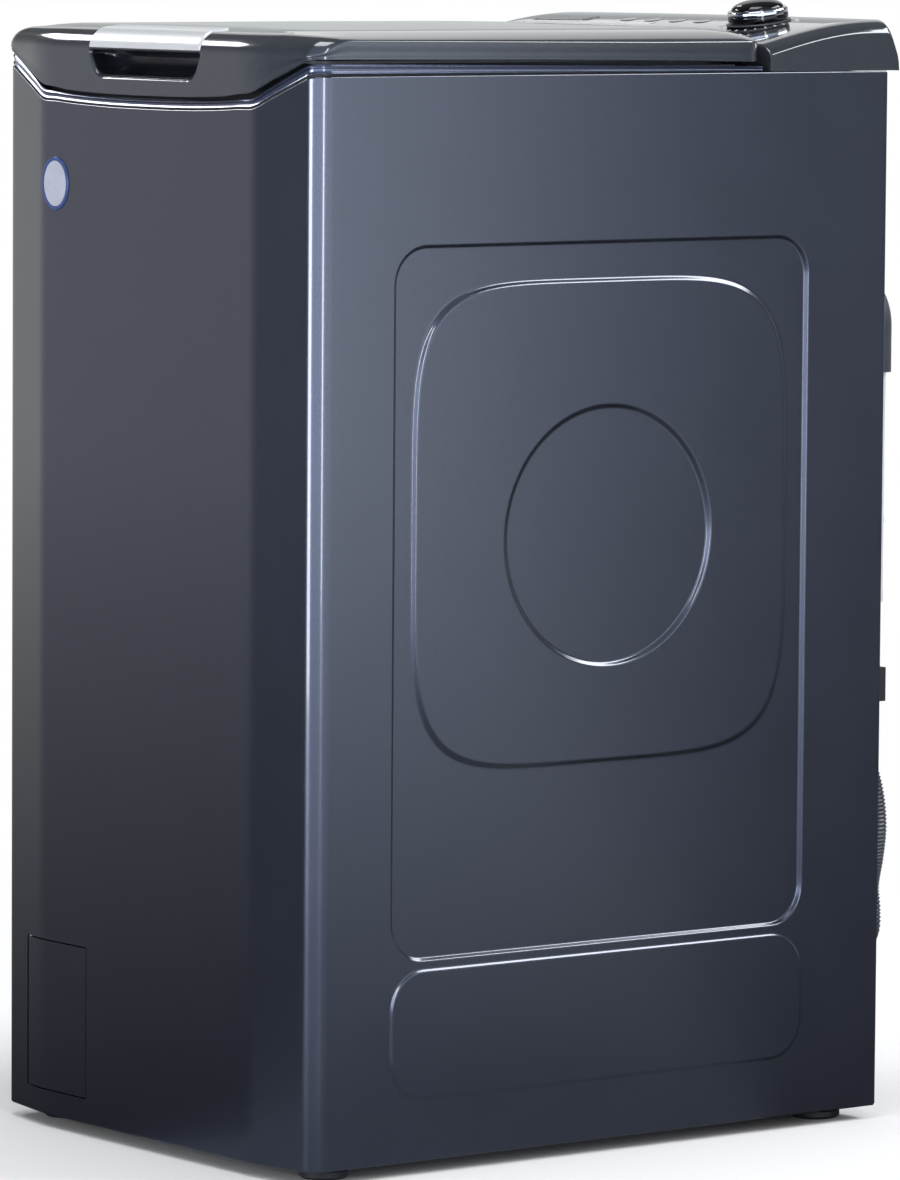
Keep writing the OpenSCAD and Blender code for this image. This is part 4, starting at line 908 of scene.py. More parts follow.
def panel_section(x, k, crown, sink=0.0):
    """Points of one section of the panel, from its front foot over its ridge to its rear foot."""
    low, high, edge = PANEL_LOW + 13 + 7 * k, 16.4 + 1.6 * k, PANEL_REAR - 12 + 2 * k
    points = [(PANEL_FRONT + s, z) for s, z in ((0, PANEL_LOW), (0, PANEL_LOW + 6), (0, low - 2.0), (0.15, low - 1.1),
                                                (0.6, low - 0.3), (1.3, low + 0.25))]
    for t in np.linspace(0.02, 1, 30):
        rise = high * math.sin(math.pi / 2 * min(1, t * (1.12 - 0.12 * k)))
        points.append((PANEL_FRONT + (edge - PANEL_FRONT) * t, low + rise + crown))
    top = points[-1][1]
    points += [(edge + s, top - fall) for s, fall in ((1.6, 0.5), (3.2, 1.8), (5.2, 4.6), (7.2, 9.0))]
    points += [(PANEL_REAR - 1.6, top - 17), (PANEL_REAR - 0.6, top - 22), (PANEL_REAR, PANEL_LOW)]
    return [(x, y, max(PANEL_LOW, z - sink)) for y, z in points]


def make_panel():
    """The control panel's shell, with the seats of its dial, buttons and display."""
    # Sections from the side to the middle: x, share of the full height, and how far the end is rounded down
    half = [(200.0, 0.0, 1.6), (199.85, 0.0, 0.9), (199.4, 0.02, 0.25), (198.6, 0.1, 0.0)]
    half += [(200 - 15 * u, 1 - (1 - u) ** 2, 0.0) for u in (0.16, 0.26, 0.38, 0.52, 0.68, 0.84, 1.0)]
    half += [(x, 1.0, 0.0) for x in (175, 160, 140, 120, 100, 80, 60, 40, 20)]
    sections = [[(HALF_W, y, PANEL_LOW) for _, y, _ in panel_section(HALF_W, 0, 0)]]
    for x, k, sink in half:
        crown = SWELL * (1 - (x / HALF_W) ** 2) if k == 1.0 else 0.0
        sections.append(panel_section(x, k, crown, sink))
    mirrored = [[(-x, y, z) for x, y, z in section] for section in sections]
    panel = shaped_grid("control_panel_shell", sections + [panel_section(0.0, 1.0, SWELL)] + mirrored[::-1])
    weld(panel)
    apply(panel, "SOLIDIFY", thickness=0.0022, offset=-1)
    shaft = [(0, -12), (6.2, -12), (6.2, 12), (0, 12)]
    rim = [(0, -12), (7.45, -12), (7.45, -0.6), (7.7, 0.0), (8.4, 0.8), (8.4, 12), (0, 12)]
    seats = [on_panel(turned("hole", shaft, 24), DIAL_X)]
    seats += [on_panel(turned("hole", rim, 48), x) for x in BUTTON_X]
    seats.append(on_panel(rounded_block("window", (0, 0, 0), (64.4, 18.4, 16), 1.5), DISPLAY_X))
    for seat in seats:
        cut(panel, seat)
    finish_piece(panel, "gloss", "cabinet", "control_panel", 30)


def make_knob(sizes):
    """The programme knob with its shaft, its chrome ring and its pointer."""
    r = sizes.knob_r / MM
    skirt = [(0, 2.6), (r - 1.4, 2.6), (r - 0.5, 2.9), (r, 3.6), (r, 6.3), (r - 0.4, 6.9), (r - 2.8, 7.0), (3.95, 7.0),
             (3.95, -11.4), (0, -11.4)]
    crown = [(0, 7.0), (r - 3.1, 7.0), (r - 3.1, 11.0), (r - 3.2, 11.9), (r - 3.7, 12.9), (r - 4.8, 14.1),
             (r - 6.6, 15.3), (r - 9.2, 16.4), (r - 12.5, 17.3), (r - 16.5, 17.9), (r - 20, 18.15), (0, 18.2)]
    knob = join("knob_body", [turned("knob_base", skirt, 96), turned("knob_cap", crown, 96)])
    finish_piece(on_panel(knob, DIAL_X), "black_gloss", "dial", "knob", 40)
    trim = [(r - 3.0, 7.05), (r - 0.5, 7.05), (r - 0.05, 7.5), (r, 8.2), (r - 0.1, 9.6), (r - 0.5, 10.6),
            (r - 1.2, 11.1), (r - 2.2, 11.2), (r - 3.0, 10.8), (r - 3.0, 7.05)]
    ring = on_panel(turned("knob_trim", trim, 96), DIAL_X)
    finish_piece(ring, "chrome", "dial", "knob_ring", 40)
    pointer = on_panel(rounded_block("knob_pointer", (0, -(r - 7.3), 15.45), (1.6, 7.0, 0.7), 0.25), DIAL_X)
    finish_piece(pointer, "white", "dial", None, 40)


def lay_on_panel(piece, x, y):
    """Bends a flat piece, made about the origin, over the panel's face."""
    points = points_of(piece) + [x, y, 0]
    points[:, 2] += panel_height(points[:, 0], points[:, 1])
    piece.data.vertices.foreach_set("co", (points * MM).ravel())
    piece.data.update()
    return piece


def make_dial_scale(sizes):
    """The ring under the knob, and printed dashes round it, every fourth one longer."""
    r = sizes.knob_r / MM
    profile = [(7.0, -0.2), (r + 1.4, -0.2), (r + 1.8, 0.1), (r + 1.8, 0.9), (r + 1.4, 1.3), (7.0, 1.3), (7.0, -0.2)]
    plate = on_panel(turned("dial_plate", profile, 96), DIAL_X)
    finish_piece(plate, "dark", "cabinet", "dial_ring", 40)
    marks = []
    for k in range(24):
        length = 5.4 if k % 4 == 0 else 3.2
        mark = rounded_block("mark", (0, r + 4.4 + length / 2, 0.1), (1.0, length, 0.36), 0.1, 1)
        mark.data.transform(Matrix.Rotation(math.radians(15 * k), 4, "Z"))
        marks.append(mark)
    marks = lay_on_panel(join("dial_marks", marks), DIAL_X, ROW_Y)
    finish_piece(marks, "white", "cabinet", None, 40)


def make_buttons():
    """The four push buttons, nearly flush with the panel and slightly hollow on top."""
    profile = [(0, -6.5), (8.9, -6.5), (9.0, -6.2), (9.0, -5.2), (8.7, -5.0), (7.0, -5.0), (7.0, -0.1), (6.9, 0.2),
               (6.6, 0.38), (6.1, 0.45), (4.8, 0.35), (2.4, 0.2), (0, 0.15)]
    for x, body in zip(BUTTON_X, ("power", "start", "temp", "spin")):
        button = on_panel(turned(body + "_key", profile, 64), x)
        finish_piece(button, "gloss", body, body + "_button", 40)


def make_display():
    """The display's dark glossy window."""
    lens = on_panel(rounded_block("display_window", (0, 0, -0.9), (63.4, 17.4, 3.6), 0.8, 4), DISPLAY_X)
    finish_piece(lens, "gloss", "cabinet", "display_lens", 40)


def make_panel_line():
    """A fine silver line let into the panel's front slope."""
    across = ((181.0, -0.25), (181.1, 0.3), (183.5, 0.4), (185.9, 0.3), (186.0, -0.25))
    rows = [[(x, y, panel_height(x, y) + lift) for y, lift in across] for x in np.linspace(-168, -6, 60)]
    line = shaped_grid("panel_line", rows)
    weld(line, 0.000002)
    apply(line, "SOLIDIFY", thickness=0.0003, offset=-1)
    finish_piece(line, "silver", "cabinet", None, 40)


# ---- Front details ----------------------------------------------------------


def copy_of(node, name):
    """A merged copy of a CAD node."""
    deselect()
    piece = bpy.data.objects.new(name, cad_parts[node].data.copy())
    bpy.context.collection.objects.link(piece)
    weld(piece, 0.000004, outwards=False)
    bpy.ops.object.mode_set(mode="EDIT")
    bpy.ops.mesh.select_all(action="SELECT")
    bpy.ops.mesh.dissolve_limited(angle_limit=math.radians(0.5))
    bpy.ops.object.mode_set(mode="OBJECT")
    return piece


def make_filter_door():
    """The filter door with its edges rounded."""
    door = copy_of("filter_door", "filter_flap")
    apply(door, "BEVEL", width=0.7 * MM, segments=3, limit_method="ANGLE", angle_limit=math.radians(40))
    finish_piece(door, "enamel", "door", "filter_door", 32)


def make_badge():
    """A plain oval plate on the front: a pale dome in a blue rim."""
    middle_x, middle_z, half_x, half_z = -118.0, 717.0, 17.5, 20.0
    angles = np.linspace(0, 2 * math.pi, 72, endpoint=False)

    def ovals(steps):
        return [[(middle_x + (half_x - d) * math.cos(q), FRONT_Y - stand, middle_z + (half_z - d) * math.sin(q))
                 for q in angles] for d, stand in steps]

    rim = [(0, -0.2), (0, 0.6), (0.25, 0.95), (0.8, 1.1), (2.2, 1.1), (2.7, 0.9), (2.8, 0.3)]
    finish_piece(ring_loft("badge_rim", ovals(rim)), "blue", "cabinet", None, 40)
    dome = [(2.9, 0.2), (2.9, 0.8), (3.3, 1.05), (6, 1.25), (11, 1.4), (16, 1.45)]
    finish_piece(ring_loft("badge_dome", ovals(dome)), "badge", "cabinet", None, 40)


# ---- Rear: hose, springs, bellows -------------------------------------------

HOSE_R, HOSE_Y, CUFF_X, CUFF_LOW, CUFF_TOP = 12.0, 263.0, 166.0, 396.0, 572.9
HOSE_ROUTE = [(-140, 249, 100), (-140, 262, 100), (-130, 274, 99), (-100, 282, 97), (-55, 285, 95), (0, 286, 95),
              (50, 287, 96), (90, 288, 101), (118, 288, 112), (136, 288, 134), (138, 288, 152), (136, 288, 172),
              (141, 288, 195), (145, 287, 220), (143, 285, 246), (136, 280, 274), (126, 272, 306), (115, 266, 345),
              (108.5, 263.5, 376), (106, 263, 406), (106, 263, 470), (106, 263, 540), (106, 263, 590)]
# Springs between the cabinet's hooks and the tub's
SPRING_LOW, SPRING_HIGH, SPRING_R, WIRE_R, TURNS = 585.0, 746.0, 9.2, 1.65, 20
SPRING_PLACES = [(DRUM_X + x * 133.0, AXIS_Y + y * 237.0) for x in (-1, 1) for y in (-1, 1)]
# Bellows from the tub's neck to the well
BELLOWS_LOW, BELLOWS_HIGH, NECK_X, NECK_Y, NECK_R = 733.3, 747.7, 115.0, 118.0, 19


def make_drain_hose(sizes):
    """The ribbed drain hose from the pump's outlet up to its guide, with one rib every few millimetres."""
    pitch = sizes.rib_pitch / MM
    length = reaches(along_curve(HOSE_ROUTE, 900))[-1]
    count = int(length / pitch * 5)
    wave = np.linspace(0, length, count) / pitch * 2 * math.pi
    radii = HOSE_R - 0.15 - 1.25 * (0.5 - 0.5 * np.cos(wave)) ** 0.8
    hose = tube("drain_hose_ribbed", along_curve(HOSE_ROUTE, count), radii, 14)
    finish_piece(hose, "hose", "cabinet", "drain_hose", 50)


def make_cuff():
    """The smooth end piece of the hose, with a stepped lip."""
    from_low = [(0, 3), (8.4, 3), (8.6, 0.3), (9.2, 0), (10.4, 0), (10.9, 0.5), (10.95, 8), (10.6, 8.6), (10.6, 60),
                (10.95, 60.6), (10.95, 66), (10.6, 66.6)]
    from_top = [(10.7, -20), (10.95, -19), (10.95, 0), (0, 0)]
    profile = [(r, CUFF_LOW + z) for r, z in from_low] + [(r, CUFF_TOP + z) for r, z in from_top]
    cuff = turned("cuff_smooth", profile, 40, (CUFF_X, HOSE_Y, 0))
    finish_piece(cuff, "pale", "cabinet", "hose_cuff", 40)


def make_springs():
    """Four wound springs that the tub hangs on, each with a closed turn at its ends."""
    end_turns, end_rise = 1.2, 1.6
    t = np.linspace(0, TURNS, TURNS * 16 + 1)
    rise = np.clip((t - end_turns) / (TURNS - 2 * end_turns), 0, 1)
    z = SPRING_LOW + WIRE_R + end_rise * np.minimum(t, end_turns)
    z += (SPRING_HIGH - SPRING_LOW - 2 * WIRE_R - 3.9) * rise
    z += end_rise * np.clip(t - (TURNS - end_turns), 0, end_turns)
    turn = 2 * math.pi * t
    for k, (x, y) in enumerate(SPRING_PLACES):
        path = np.stack([x + SPRING_R * np.cos(turn), y + SPRING_R * np.sin(turn), z], 1)
        spring = tube("suspension_coil_%d" % (k + 1), path, WIRE_R, 7)
        finish_soft(spring, "plated", 60)
        if k == 0:
            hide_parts("suspension_springs")


def make_bellows():
    """The folded rubber bellows between the tub's neck and the well."""

    def ring(grow, share):
        swell = 6 * math.sin(math.pi * share) ** 0.6 * (0.75 + 0.25 * math.cos(4 * math.pi * (share - 0.5)))
        wide = grow + swell
        flat = soft_rectangle((DRUM_X, AXIS_Y), (NECK_X + wide, NECK_Y + wide), NECK_R + wide, (24, 24))
        return [(x, y, BELLOWS_LOW + (BELLOWS_HIGH - BELLOWS_LOW) * share) for x, y in flat]

    shares = np.linspace(0, 1, 13)
    inner = [ring(0.2, share) for share in shares]
    outer = [ring(3, share) for share in shares]
    rings = [np.vstack([r, r[:1]]) for r in [*inner, *outer[::-1], inner[0]]]
    bellows = shaped_grid("bellows_folds", rings)
    weld(bellows)
    finish_soft(bellows, "rubber", 60)
    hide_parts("bellows")


def make_sump_hose():
    """The rubber hose from the tub's sump to the filter, which gives way as the tub moves."""
    hose = copy_of("sump_hose", "sump_hose_soft")
    apply(hose, "SUBSURF", levels=2, render_levels=2, subdivision_type="SIMPLE")
    finish_soft(hose, "rubber", 50)
    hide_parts("sump_hose")


# ---- Finishes of the CAD pieces ---------------------------------------------

CAD_FINISHES = {
    "zinc": ("rear_panel", "motor"),
    "plated": ("foot_nuts", "hinge_pins", "drum_bearings", "damper_rods", "drum_shafts", "flap_pins", "pulley_bolt",
               "motor_pulley"),
    "stainless": ("heater", "drum_shell", "drum_end_left", "drum_end_right", "flap_front", "flap_rear"),
    "aluminium": ("drum_pulley",),
    "weight": ("counterweights",),
    # In black, top_frame and lid_inner also serve as painted shade: they darken the gap under the lid's edge
    "black": ("base_frame", "feet", "top_frame", "lid_lock", "lid_inner", "lid_latch", "damper_cylinders",
              "flap_catch", "hose_clips", "transport_caps", "cable_gland"),
    "dark": ("hose_guide",),
    "grey": ("tub_shell", "tub_end_left", "tub_end_right"),
    "white": ("dispenser_tray", "drum_lifters", "drain_pump", "filter_cap", "inlet_valve"),
    "rubber": ("shaft_seals", "drive_belt", "inlet_hose"),
    "board": ("control_board",),
}


def finish_cad_nodes():
    """Paints the CAD nodes that no visual piece replaces."""
    for finish, nodes in CAD_FINISHES.items():
        for node in nodes:
            paint(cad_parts[node], finish)


# ---- Stage ------------------------------------------------------------------


# Camera: its place in metres, its turn round the machine, its pitch and roll in degrees, and its lens
CAMERA_PLACE, CAMERA_TURN, CAMERA_PITCH, CAMERA_ROLL = (4.3959, -3.3496, 0.9262), 52.82, 5.39, 0.41
SENSOR, FOCAL_LENGTH = 36, 7251 / 1180 * 36
# Soft lamps: name, place, the point that they face, size and power
LAMPS = [
    ("left_box", (-2.6, -1.0, 2.35), (0, -0.2, 0.8), (1.3, 0.42), 22),
    ("front_strip", (0.2, -3.3, 0.62), (0.1, -0.2, 0.4), (0.95, 1.2), 33),
    ("right_strip", (3.3, -1.2, 1.25), (0.2, -0.1, 0.4), (0.4, 2.4), 30),
    ("rear_box", (1.3, 2.0, 2.3), (0.1, 0, 0.6), (2.2, 1.0), 60),
    ("rear_left_box", (-2.9, 2.5, 2.6), (0, 0, 0.8), (3.0, 2.0), 12),
    ("top_box", (0.2, -0.5, 3.0), (0, 0, 0.5), (1.2, 1.2), 24),
]
# The room round the machine: the turn in degrees from its right-hand side towards its rear, the brightness there,
# and a warm or cool tint
ROOM_STOPS = [
    (-180, 0.3, "#d0d6cc"), (-166, 0.38, "#cfd2cc"), (-152, 0.31, "#d2cfd6"), (-140, 0.27, "#cfced6"),
    (-130, 0.2, "#c8ccd6"), (-120, 0.11, "#b4c4e0"), (-108, 0.07, "#b0bfe6"), (-97, 0.3, "#b9c6e8"),
    (-86, 1.2, "#c3cee8"), (-40, 1.3, "#c3cee8"), (8, 1.0, "#c6cfe2"), (31, 1.0, "#c6d0da"),
    (34, 0.88, "#c6d0da"), (36.5, 0.4, "#c6ccda"), (39, 0.07, "#bdc3d8"), (60, 0.08, "#c4c9d2"),
    (100, 0.3, "#c4c9d2"), (142, 0.38, "#c8ccce"), (180, 0.3, "#d0d6cc"),
]
ROOM_GLOW, ROOM_R, FLOOR_R = 2.6, 7.0, 9.0


def make_camera():
    """The camera in front of the machine's right-hand side."""
    azimuth, pitch, roll = (math.radians(angle) for angle in (CAMERA_TURN, CAMERA_PITCH, CAMERA_ROLL))
    ahead = Vector((-math.sin(azimuth) * math.cos(pitch), math.cos(azimuth) * math.cos(pitch), -math.sin(pitch)))
    right = Vector((math.cos(azimuth), math.sin(azimuth), 0))
    up = right.cross(ahead)
    across = math.cos(roll) * right + math.sin(roll) * up
    above = -math.sin(roll) * right + math.cos(roll) * up
    turn = Matrix((across, above, -ahead)).transposed().to_4x4()
    lens = bpy.data.cameras.new("view")
    lens.lens, lens.sensor_width, lens.sensor_fit = FOCAL_LENGTH, SENSOR, "AUTO"
    lens.clip_end = 100
    camera = bpy.data.objects.new("view", lens)
    camera.matrix_world = Matrix.Translation(CAMERA_PLACE) @ turn
    bpy.context.collection.objects.link(camera)
    bpy.context.scene.camera = camera


def softbox(name, place, target, size, power):
    """A soft lamp that is seen in reflections but not by the camera."""
    light = bpy.data.lights.new(name, "AREA")
    light.shape, light.size, light.size_y, light.energy = "RECTANGLE", size[0], size[1], power
    lamp = bpy.data.objects.new(name, light)
    lamp.location = place
    lamp.rotation_euler = (Vector(target) - Vector(place)).to_track_quat("-Z", "Y").to_euler()
    lamp.visible_camera = False
    bpy.context.collection.objects.link(lamp)


def room_colour(tree):
    """The room's colour by the turn round the machine."""
    place = add_node(tree, "ShaderNodeSeparateXYZ", {"Vector": object_point(tree)})
    turn = add_node(tree, "ShaderNodeMath", {0: place.outputs["Y"], 1: place.outputs["X"]}, operation="ARCTAN2")
    share = add_node(tree, "ShaderNodeMapRange", {"Value": turn.outputs[0], "From Min": -math.pi,
                                                  "From Max": math.pi})
    ramp = add_node(tree, "ShaderNodeValToRGB", {"Fac": share.outputs[0]})
    stops = ramp.color_ramp.elements
    while len(stops) < len(ROOM_STOPS):
        stops.new(0.5)
    for stop, (angle, _, _) in zip(stops, ROOM_STOPS):
        stop.position = (angle + 180) / 360
    for stop, (_, level, tint) in zip(stops, ROOM_STOPS):
        stop.color = shade(linear(tint), level)
    return ramp.outputs[0]


def distance_from_machine(tree):
    """How far a point lies from the origin, in metres."""
    return add_node(tree, "ShaderNodeVectorMath", {0: object_point(tree)}, operation="LENGTH").outputs["Value"]


def dome_level(tree):
    """Walls at their full brightness up to the eye, and a dim ceiling."""
    height = add_node(tree, "ShaderNodeSeparateXYZ", {"Vector": object_point(tree)}).outputs["Z"]
    ends = {"From Min": 1.0, "From Max": 3.2, "To Min": ROOM_GLOW, "To Max": 0.22 * ROOM_GLOW}
    return add_node(tree, "ShaderNodeMapRange", {"Value": height, **ends}, interpolation_type="SMOOTHSTEP").outputs[0]


def cloth_level(tree):
    """The cloth's brightness: dark beside the machine, and as light as the walls where it meets them."""
    ends = {"From Min": 0.5, "From Max": ROOM_R, "To Min": 0.08 * ROOM_GLOW, "To Max": ROOM_GLOW}
    return add_node(tree, "ShaderNodeMapRange", {"Value": distance_from_machine(tree), **ends}).outputs[0]


def make_screen(screen, name, glow_name, level):
    """Lets a sheet glow in the room's colours, but only in reflections."""
    screen.name = name
    settle(screen)
    screen.visible_camera = screen.visible_diffuse = screen.visible_shadow = screen.visible_transmission = False
    glow = bpy.data.materials.new(glow_name)
    tree = empty_tree(glow)
    shine = add_node(tree, "ShaderNodeEmission", {"Color": room_colour(tree), "Strength": level(tree)})
    add_node(tree, "ShaderNodeOutputMaterial", {"Surface": shine.outputs[0]})
    screen.data.materials.append(glow)


def make_disc(radius, height):
    """A flat round sheet at a height in metres."""
    deselect()
    bpy.ops.mesh.primitive_circle_add(vertices=96, radius=radius, fill_type="NGON", location=(0, 0, height))
    return bpy.context.object


def make_world():
    """A grey sky that lights the machine, and a white one for the camera, reflections and clear pieces."""
    world = bpy.data.worlds.new("studio")
    bpy.context.scene.world = world
    tree = empty_tree(world)
    rays = add_node(tree, "ShaderNodeLightPath")
    room = add_node(tree, "ShaderNodeBackground", {"Color": linear("#b9bcc0"), "Strength": 0.75})
    plain = add_node(tree, "ShaderNodeBackground", {"Color": (1, 1, 1, 1), "Strength": 1.0})
    seen = rays.outputs["Is Camera Ray"]
    for kind in ("Is Glossy Ray", "Is Transmission Ray"):
        seen = add_node(tree, "ShaderNodeMath", {0: seen, 1: rays.outputs[kind]}, operation="MAXIMUM").outputs[0]
    sky = add_node(tree, "ShaderNodeMixShader", {0: seen, 1: room.outputs[0], 2: plain.outputs[0]})
    add_node(tree, "ShaderNodeOutputWorld", {"Surface": sky.outputs[0]})


def make_floor():
    """A floor of pale paper that keeps the shadow, and fades into the white behind it."""
    floor = make_disc(FLOOR_R, 0)
    floor.name = "studio_floor"
    settle(floor)
    paper = bpy.data.materials.new("pale_paper")
    tree = empty_tree(paper)
    fade = add_node(tree, "ShaderNodeMapRange", {"Value": distance_from_machine(tree), "From Min": 0.35,
                                                 "From Max": 1.7}, interpolation_type="SMOOTHSTEP")
    rays = add_node(tree, "ShaderNodeLightPath")
    seen = add_node(tree, "ShaderNodeMath", {0: fade.outputs[0], 1: rays.outputs["Is Camera Ray"]},
                    operation="MULTIPLY")
    matt = add_node(tree, "ShaderNodeBsdfDiffuse", {"Color": linear("#fafafa")})
    white = add_node(tree, "ShaderNodeEmission", {"Color": (1, 1, 1, 1), "Strength": 1.0})
    both = add_node(tree, "ShaderNodeMixShader", {0: seen.outputs[0], 1: matt.outputs[0], 2: white.outputs[0]})
    add_node(tree, "ShaderNodeOutputMaterial", {"Surface": both.outputs[0]})
    floor.data.materials.append(paper)


def make_stage():
    """The sky, the floor, the lamps, and a dim room and a dark cloth that only reflections meet."""
    make_world()
    make_floor()
    deselect()
    bpy.ops.mesh.primitive_uv_sphere_add(segments=96, ring_count=48, radius=ROOM_R, location=(0, 0, 0))
    room = bpy.context.object
    bpy.ops.object.mode_set(mode="EDIT")
    bpy.ops.mesh.select_all(action="SELECT")
    bpy.ops.mesh.bisect(plane_co=(0, 0, 0.0005), plane_no=(0, 0, 1), clear_inner=True)
    bpy.ops.object.mode_set(mode="OBJECT")
    make_screen(room, "studio_room", "dim_room", dome_level)
    make_screen(make_disc(ROOM_R, 0.001), "studio_cloth", "dark_cloth", cloth_level)
    for lamp in LAMPS:
        softbox(*lamp)


# ---- Add-on -----------------------------------------------------------------


def length_property(name, description, default):
    """A length in metres that a user may change."""
    return bpy.props.FloatProperty(name=name, description=description, default=default, unit="LENGTH")


def colour_property(name, description, code):
    """A colour that a user may change."""
    return bpy.props.FloatVectorProperty(name=name, description=description, size=4, subtype="COLOR",
                                         default=linear(code), min=0, max=1)


class WashingMachineSizes(bpy.types.PropertyGroup):
    """Sizes of the machine's details."""

    press_in: length_property("Pressing depth", "How far the side skins' large field is pressed in", 0.0027)
    land: length_property("Land height", "How far the soft square comes back out of the field", 0.0023)
    press_out: length_property("Sill height", "How far the lower field stands proud", 0.0012)
    handle_stand: length_property("Handle stand", "How far the lid's insert stands proud of it", 0.0012)
    knob_r: length_property("Knob radius", "Outside radius of the programme knob", 0.0232)
    rib_pitch: length_property("Rib pitch", "Distance between the ribs of the drain hose", 0.0028)


class WashingMachineColours(bpy.types.PropertyGroup):
    """Colours of the machine's main finishes."""

    enamel: colour_property("Enamel", "Metallic enamel of the steel skins", "#4a4e5b")
    lacquer: colour_property("Lacquer", "Glossy lacquer of the lid and the control panel", "#3f434b")
    bezel: colour_property("Bezel", "Satin rim under the lid", "#49516a")
    silver: colour_property("Silver", "Bright lacquer of the lid's handle", "#d8dbdf")


class WASHER_OT_cabinet_skin(bpy.types.Operator):
    """Folds the steel skins: pressed sides, facetted front, top bead and flanges."""

    bl_idname = "washer.cabinet_skin"
    bl_label = "Cabinet skin"

    def execute(self, context):
        make_cabinet_skin(context.scene.washing_machine_sizes)
        return {"FINISHED"}


class WASHER_OT_bezel(bpy.types.Operator):
    """Sweeps the blue-grey rim that shows under the lid."""

    bl_idname = "washer.bezel"
    bl_label = "Bezel"

    def execute(self, context):
        make_bezel()
        return {"FINISHED"}


class WASHER_OT_lid(bpy.types.Operator):
    """Lofts the lid's shell and cuts its finger grip and hinge notches."""

    bl_idname = "washer.lid"
    bl_label = "Lid"

    def execute(self, context):
        make_lid()
        return {"FINISHED"}


class WASHER_OT_grip_liner(bpy.types.Operator):
    """Lines the finger grip with a scoop that is near black as painted shade."""

    bl_idname = "washer.grip_liner"
    bl_label = "Grip liner"

    def execute(self, context):
        make_grip_liner()
        return {"FINISHED"}


class WASHER_OT_handle(bpy.types.Operator):
    """Lays the bright insert over the lid's front bevel."""

    bl_idname = "washer.handle"
    bl_label = "Handle insert"

    def execute(self, context):
        make_handle(context.scene.washing_machine_sizes)
        return {"FINISHED"}


class WASHER_OT_panel(bpy.types.Operator):
    """Lofts the control panel and cuts its holes."""

    bl_idname = "washer.panel"
    bl_label = "Control panel"

    def execute(self, context):
        make_panel()
        return {"FINISHED"}


class WASHER_OT_panel_line(bpy.types.Operator):
    """Lets a silver line into the panel."""

    bl_idname = "washer.panel_line"
    bl_label = "Panel line"

    def execute(self, context):
        make_panel_line()
        return {"FINISHED"}


class WASHER_OT_knob(bpy.types.Operator):
    """Turns the knob, its chrome ring and its pointer."""

    bl_idname = "washer.knob"
    bl_label = "Programme knob"

    def execute(self, context):
        make_knob(context.scene.washing_machine_sizes)
        return {"FINISHED"}


class WASHER_OT_dial_scale(bpy.types.Operator):
    """Makes the plate under the knob with its dashes."""

    bl_idname = "washer.dial_scale"
    bl_label = "Dial scale"

    def execute(self, context):
        make_dial_scale(context.scene.washing_machine_sizes)
        return {"FINISHED"}


class WASHER_OT_buttons(bpy.types.Operator):
    """Turns the four push buttons."""

    bl_idname = "washer.buttons"
    bl_label = "Push buttons"

    def execute(self, context):
        make_buttons()
        return {"FINISHED"}


class WASHER_OT_display(bpy.types.Operator):
    """Makes the display window."""

    bl_idname = "washer.display"
    bl_label = "Display window"

    def execute(self, context):
        make_display()
        return {"FINISHED"}


class WASHER_OT_filter_door(bpy.types.Operator):
    """Rounds the edges of the filter door."""

    bl_idname = "washer.filter_door"
    bl_label = "Filter door"

    def execute(self, context):
        make_filter_door()
        return {"FINISHED"}


class WASHER_OT_badge(bpy.types.Operator):
    """Makes the plain oval plate on the front."""

    bl_idname = "washer.badge"
    bl_label = "Oval plate"

    def execute(self, context):
        make_badge()
        return {"FINISHED"}


class WASHER_OT_drain_hose(bpy.types.Operator):
    """Sweeps the ribbed drain hose."""

    bl_idname = "washer.drain_hose"
    bl_label = "Drain hose"

    def execute(self, context):
        make_drain_hose(context.scene.washing_machine_sizes)
        return {"FINISHED"}


class WASHER_OT_cuff(bpy.types.Operator):
    """Turns the smooth end of the drain hose."""

    bl_idname = "washer.cuff"
    bl_label = "Hose cuff"

    def execute(self, context):
        make_cuff()
        return {"FINISHED"}


class WASHER_OT_springs(bpy.types.Operator):
    """Winds the four springs that the tub hangs on."""

    bl_idname = "washer.springs"
    bl_label = "Suspension springs"

    def execute(self, context):
        make_springs()
        return {"FINISHED"}


class WASHER_OT_bellows(bpy.types.Operator):
    """Folds the rubber bellows over the tub's neck."""

    bl_idname = "washer.bellows"
    bl_label = "Bellows"

    def execute(self, context):
        make_bellows()
        return {"FINISHED"}


class WASHER_OT_sump_hose(bpy.types.Operator):
    """Makes the rubber hose under the tub."""

    bl_idname = "washer.sump_hose"
    bl_label = "Sump hose"

    def execute(self, context):
        make_sump_hose()
        return {"FINISHED"}


class WASHER_OT_finishes(bpy.types.Operator):
    """Gives every CAD piece that still shows its own material."""

    bl_idname = "washer.finishes"
    bl_label = "Finishes"

    def execute(self, context):
        finish_cad_nodes()
        return {"FINISHED"}


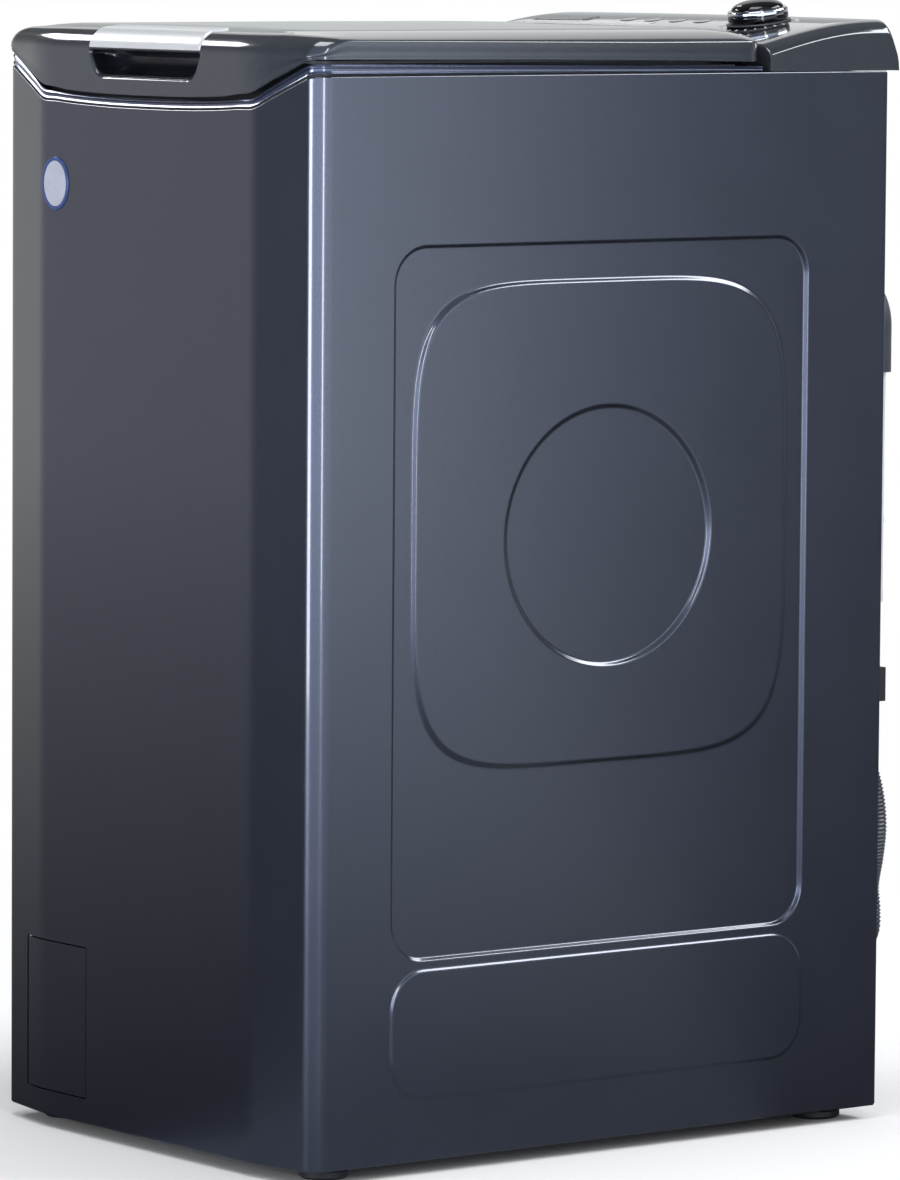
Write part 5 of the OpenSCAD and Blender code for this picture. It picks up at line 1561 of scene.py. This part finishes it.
class WASHER_OT_stage(bpy.types.Operator):
    """Sets up the camera, the pale floor and the soft lights."""

    bl_idname = "washer.stage"
    bl_label = "Stage"

    def execute(self, context):
        make_camera()
        make_stage()
        return {"FINISHED"}


OPERATORS = (
    WASHER_OT_stage,
    WASHER_OT_cabinet_skin,
    WASHER_OT_bezel,
    WASHER_OT_lid,
    WASHER_OT_grip_liner,
    WASHER_OT_handle,
    WASHER_OT_panel,
    WASHER_OT_panel_line,
    WASHER_OT_knob,
    WASHER_OT_dial_scale,
    WASHER_OT_buttons,
    WASHER_OT_display,
    WASHER_OT_filter_door,
    WASHER_OT_badge,
    WASHER_OT_drain_hose,
    WASHER_OT_cuff,
    WASHER_OT_springs,
    WASHER_OT_bellows,
    WASHER_OT_sump_hose,
    WASHER_OT_finishes,
)


class WASHER_PT_pieces(bpy.types.Panel):
    """Lists the operators that make the machine's pieces."""

    bl_label = "Washing machine"
    bl_idname = "WASHER_PT_pieces"
    bl_space_type = "VIEW_3D"
    bl_region_type = "UI"
    bl_category = "Washing machine"

    def draw(self, context):
        for operator in OPERATORS:
            self.layout.operator(operator.bl_idname)
        for group in (context.scene.washing_machine_sizes, context.scene.washing_machine_colours):
            for name in group.bl_rna.properties.keys():
                if name not in {"rna_type", "name"}:
                    self.layout.prop(group, name)


CLASSES = (WashingMachineSizes, WashingMachineColours, *OPERATORS, WASHER_PT_pieces)


def register():
    """Adds the classes and the machine's properties."""
    for made in CLASSES:
        bpy.utils.register_class(made)
    bpy.types.Scene.washing_machine_sizes = bpy.props.PointerProperty(type=WashingMachineSizes)
    bpy.types.Scene.washing_machine_colours = bpy.props.PointerProperty(type=WashingMachineColours)


def unregister():
    """Takes away what register adds."""
    del bpy.types.Scene.washing_machine_colours
    del bpy.types.Scene.washing_machine_sizes
    for made in reversed(CLASSES):
        bpy.utils.unregister_class(made)


def main():
    """Makes every piece in order."""
    register()
    bpy.context.scene.view_settings.view_transform = "Standard"
    for operator in OPERATORS:
        group, name = operator.bl_idname.split(".")
        getattr(getattr(bpy.ops, group), name)()


if __name__ == "__main__":
    main()
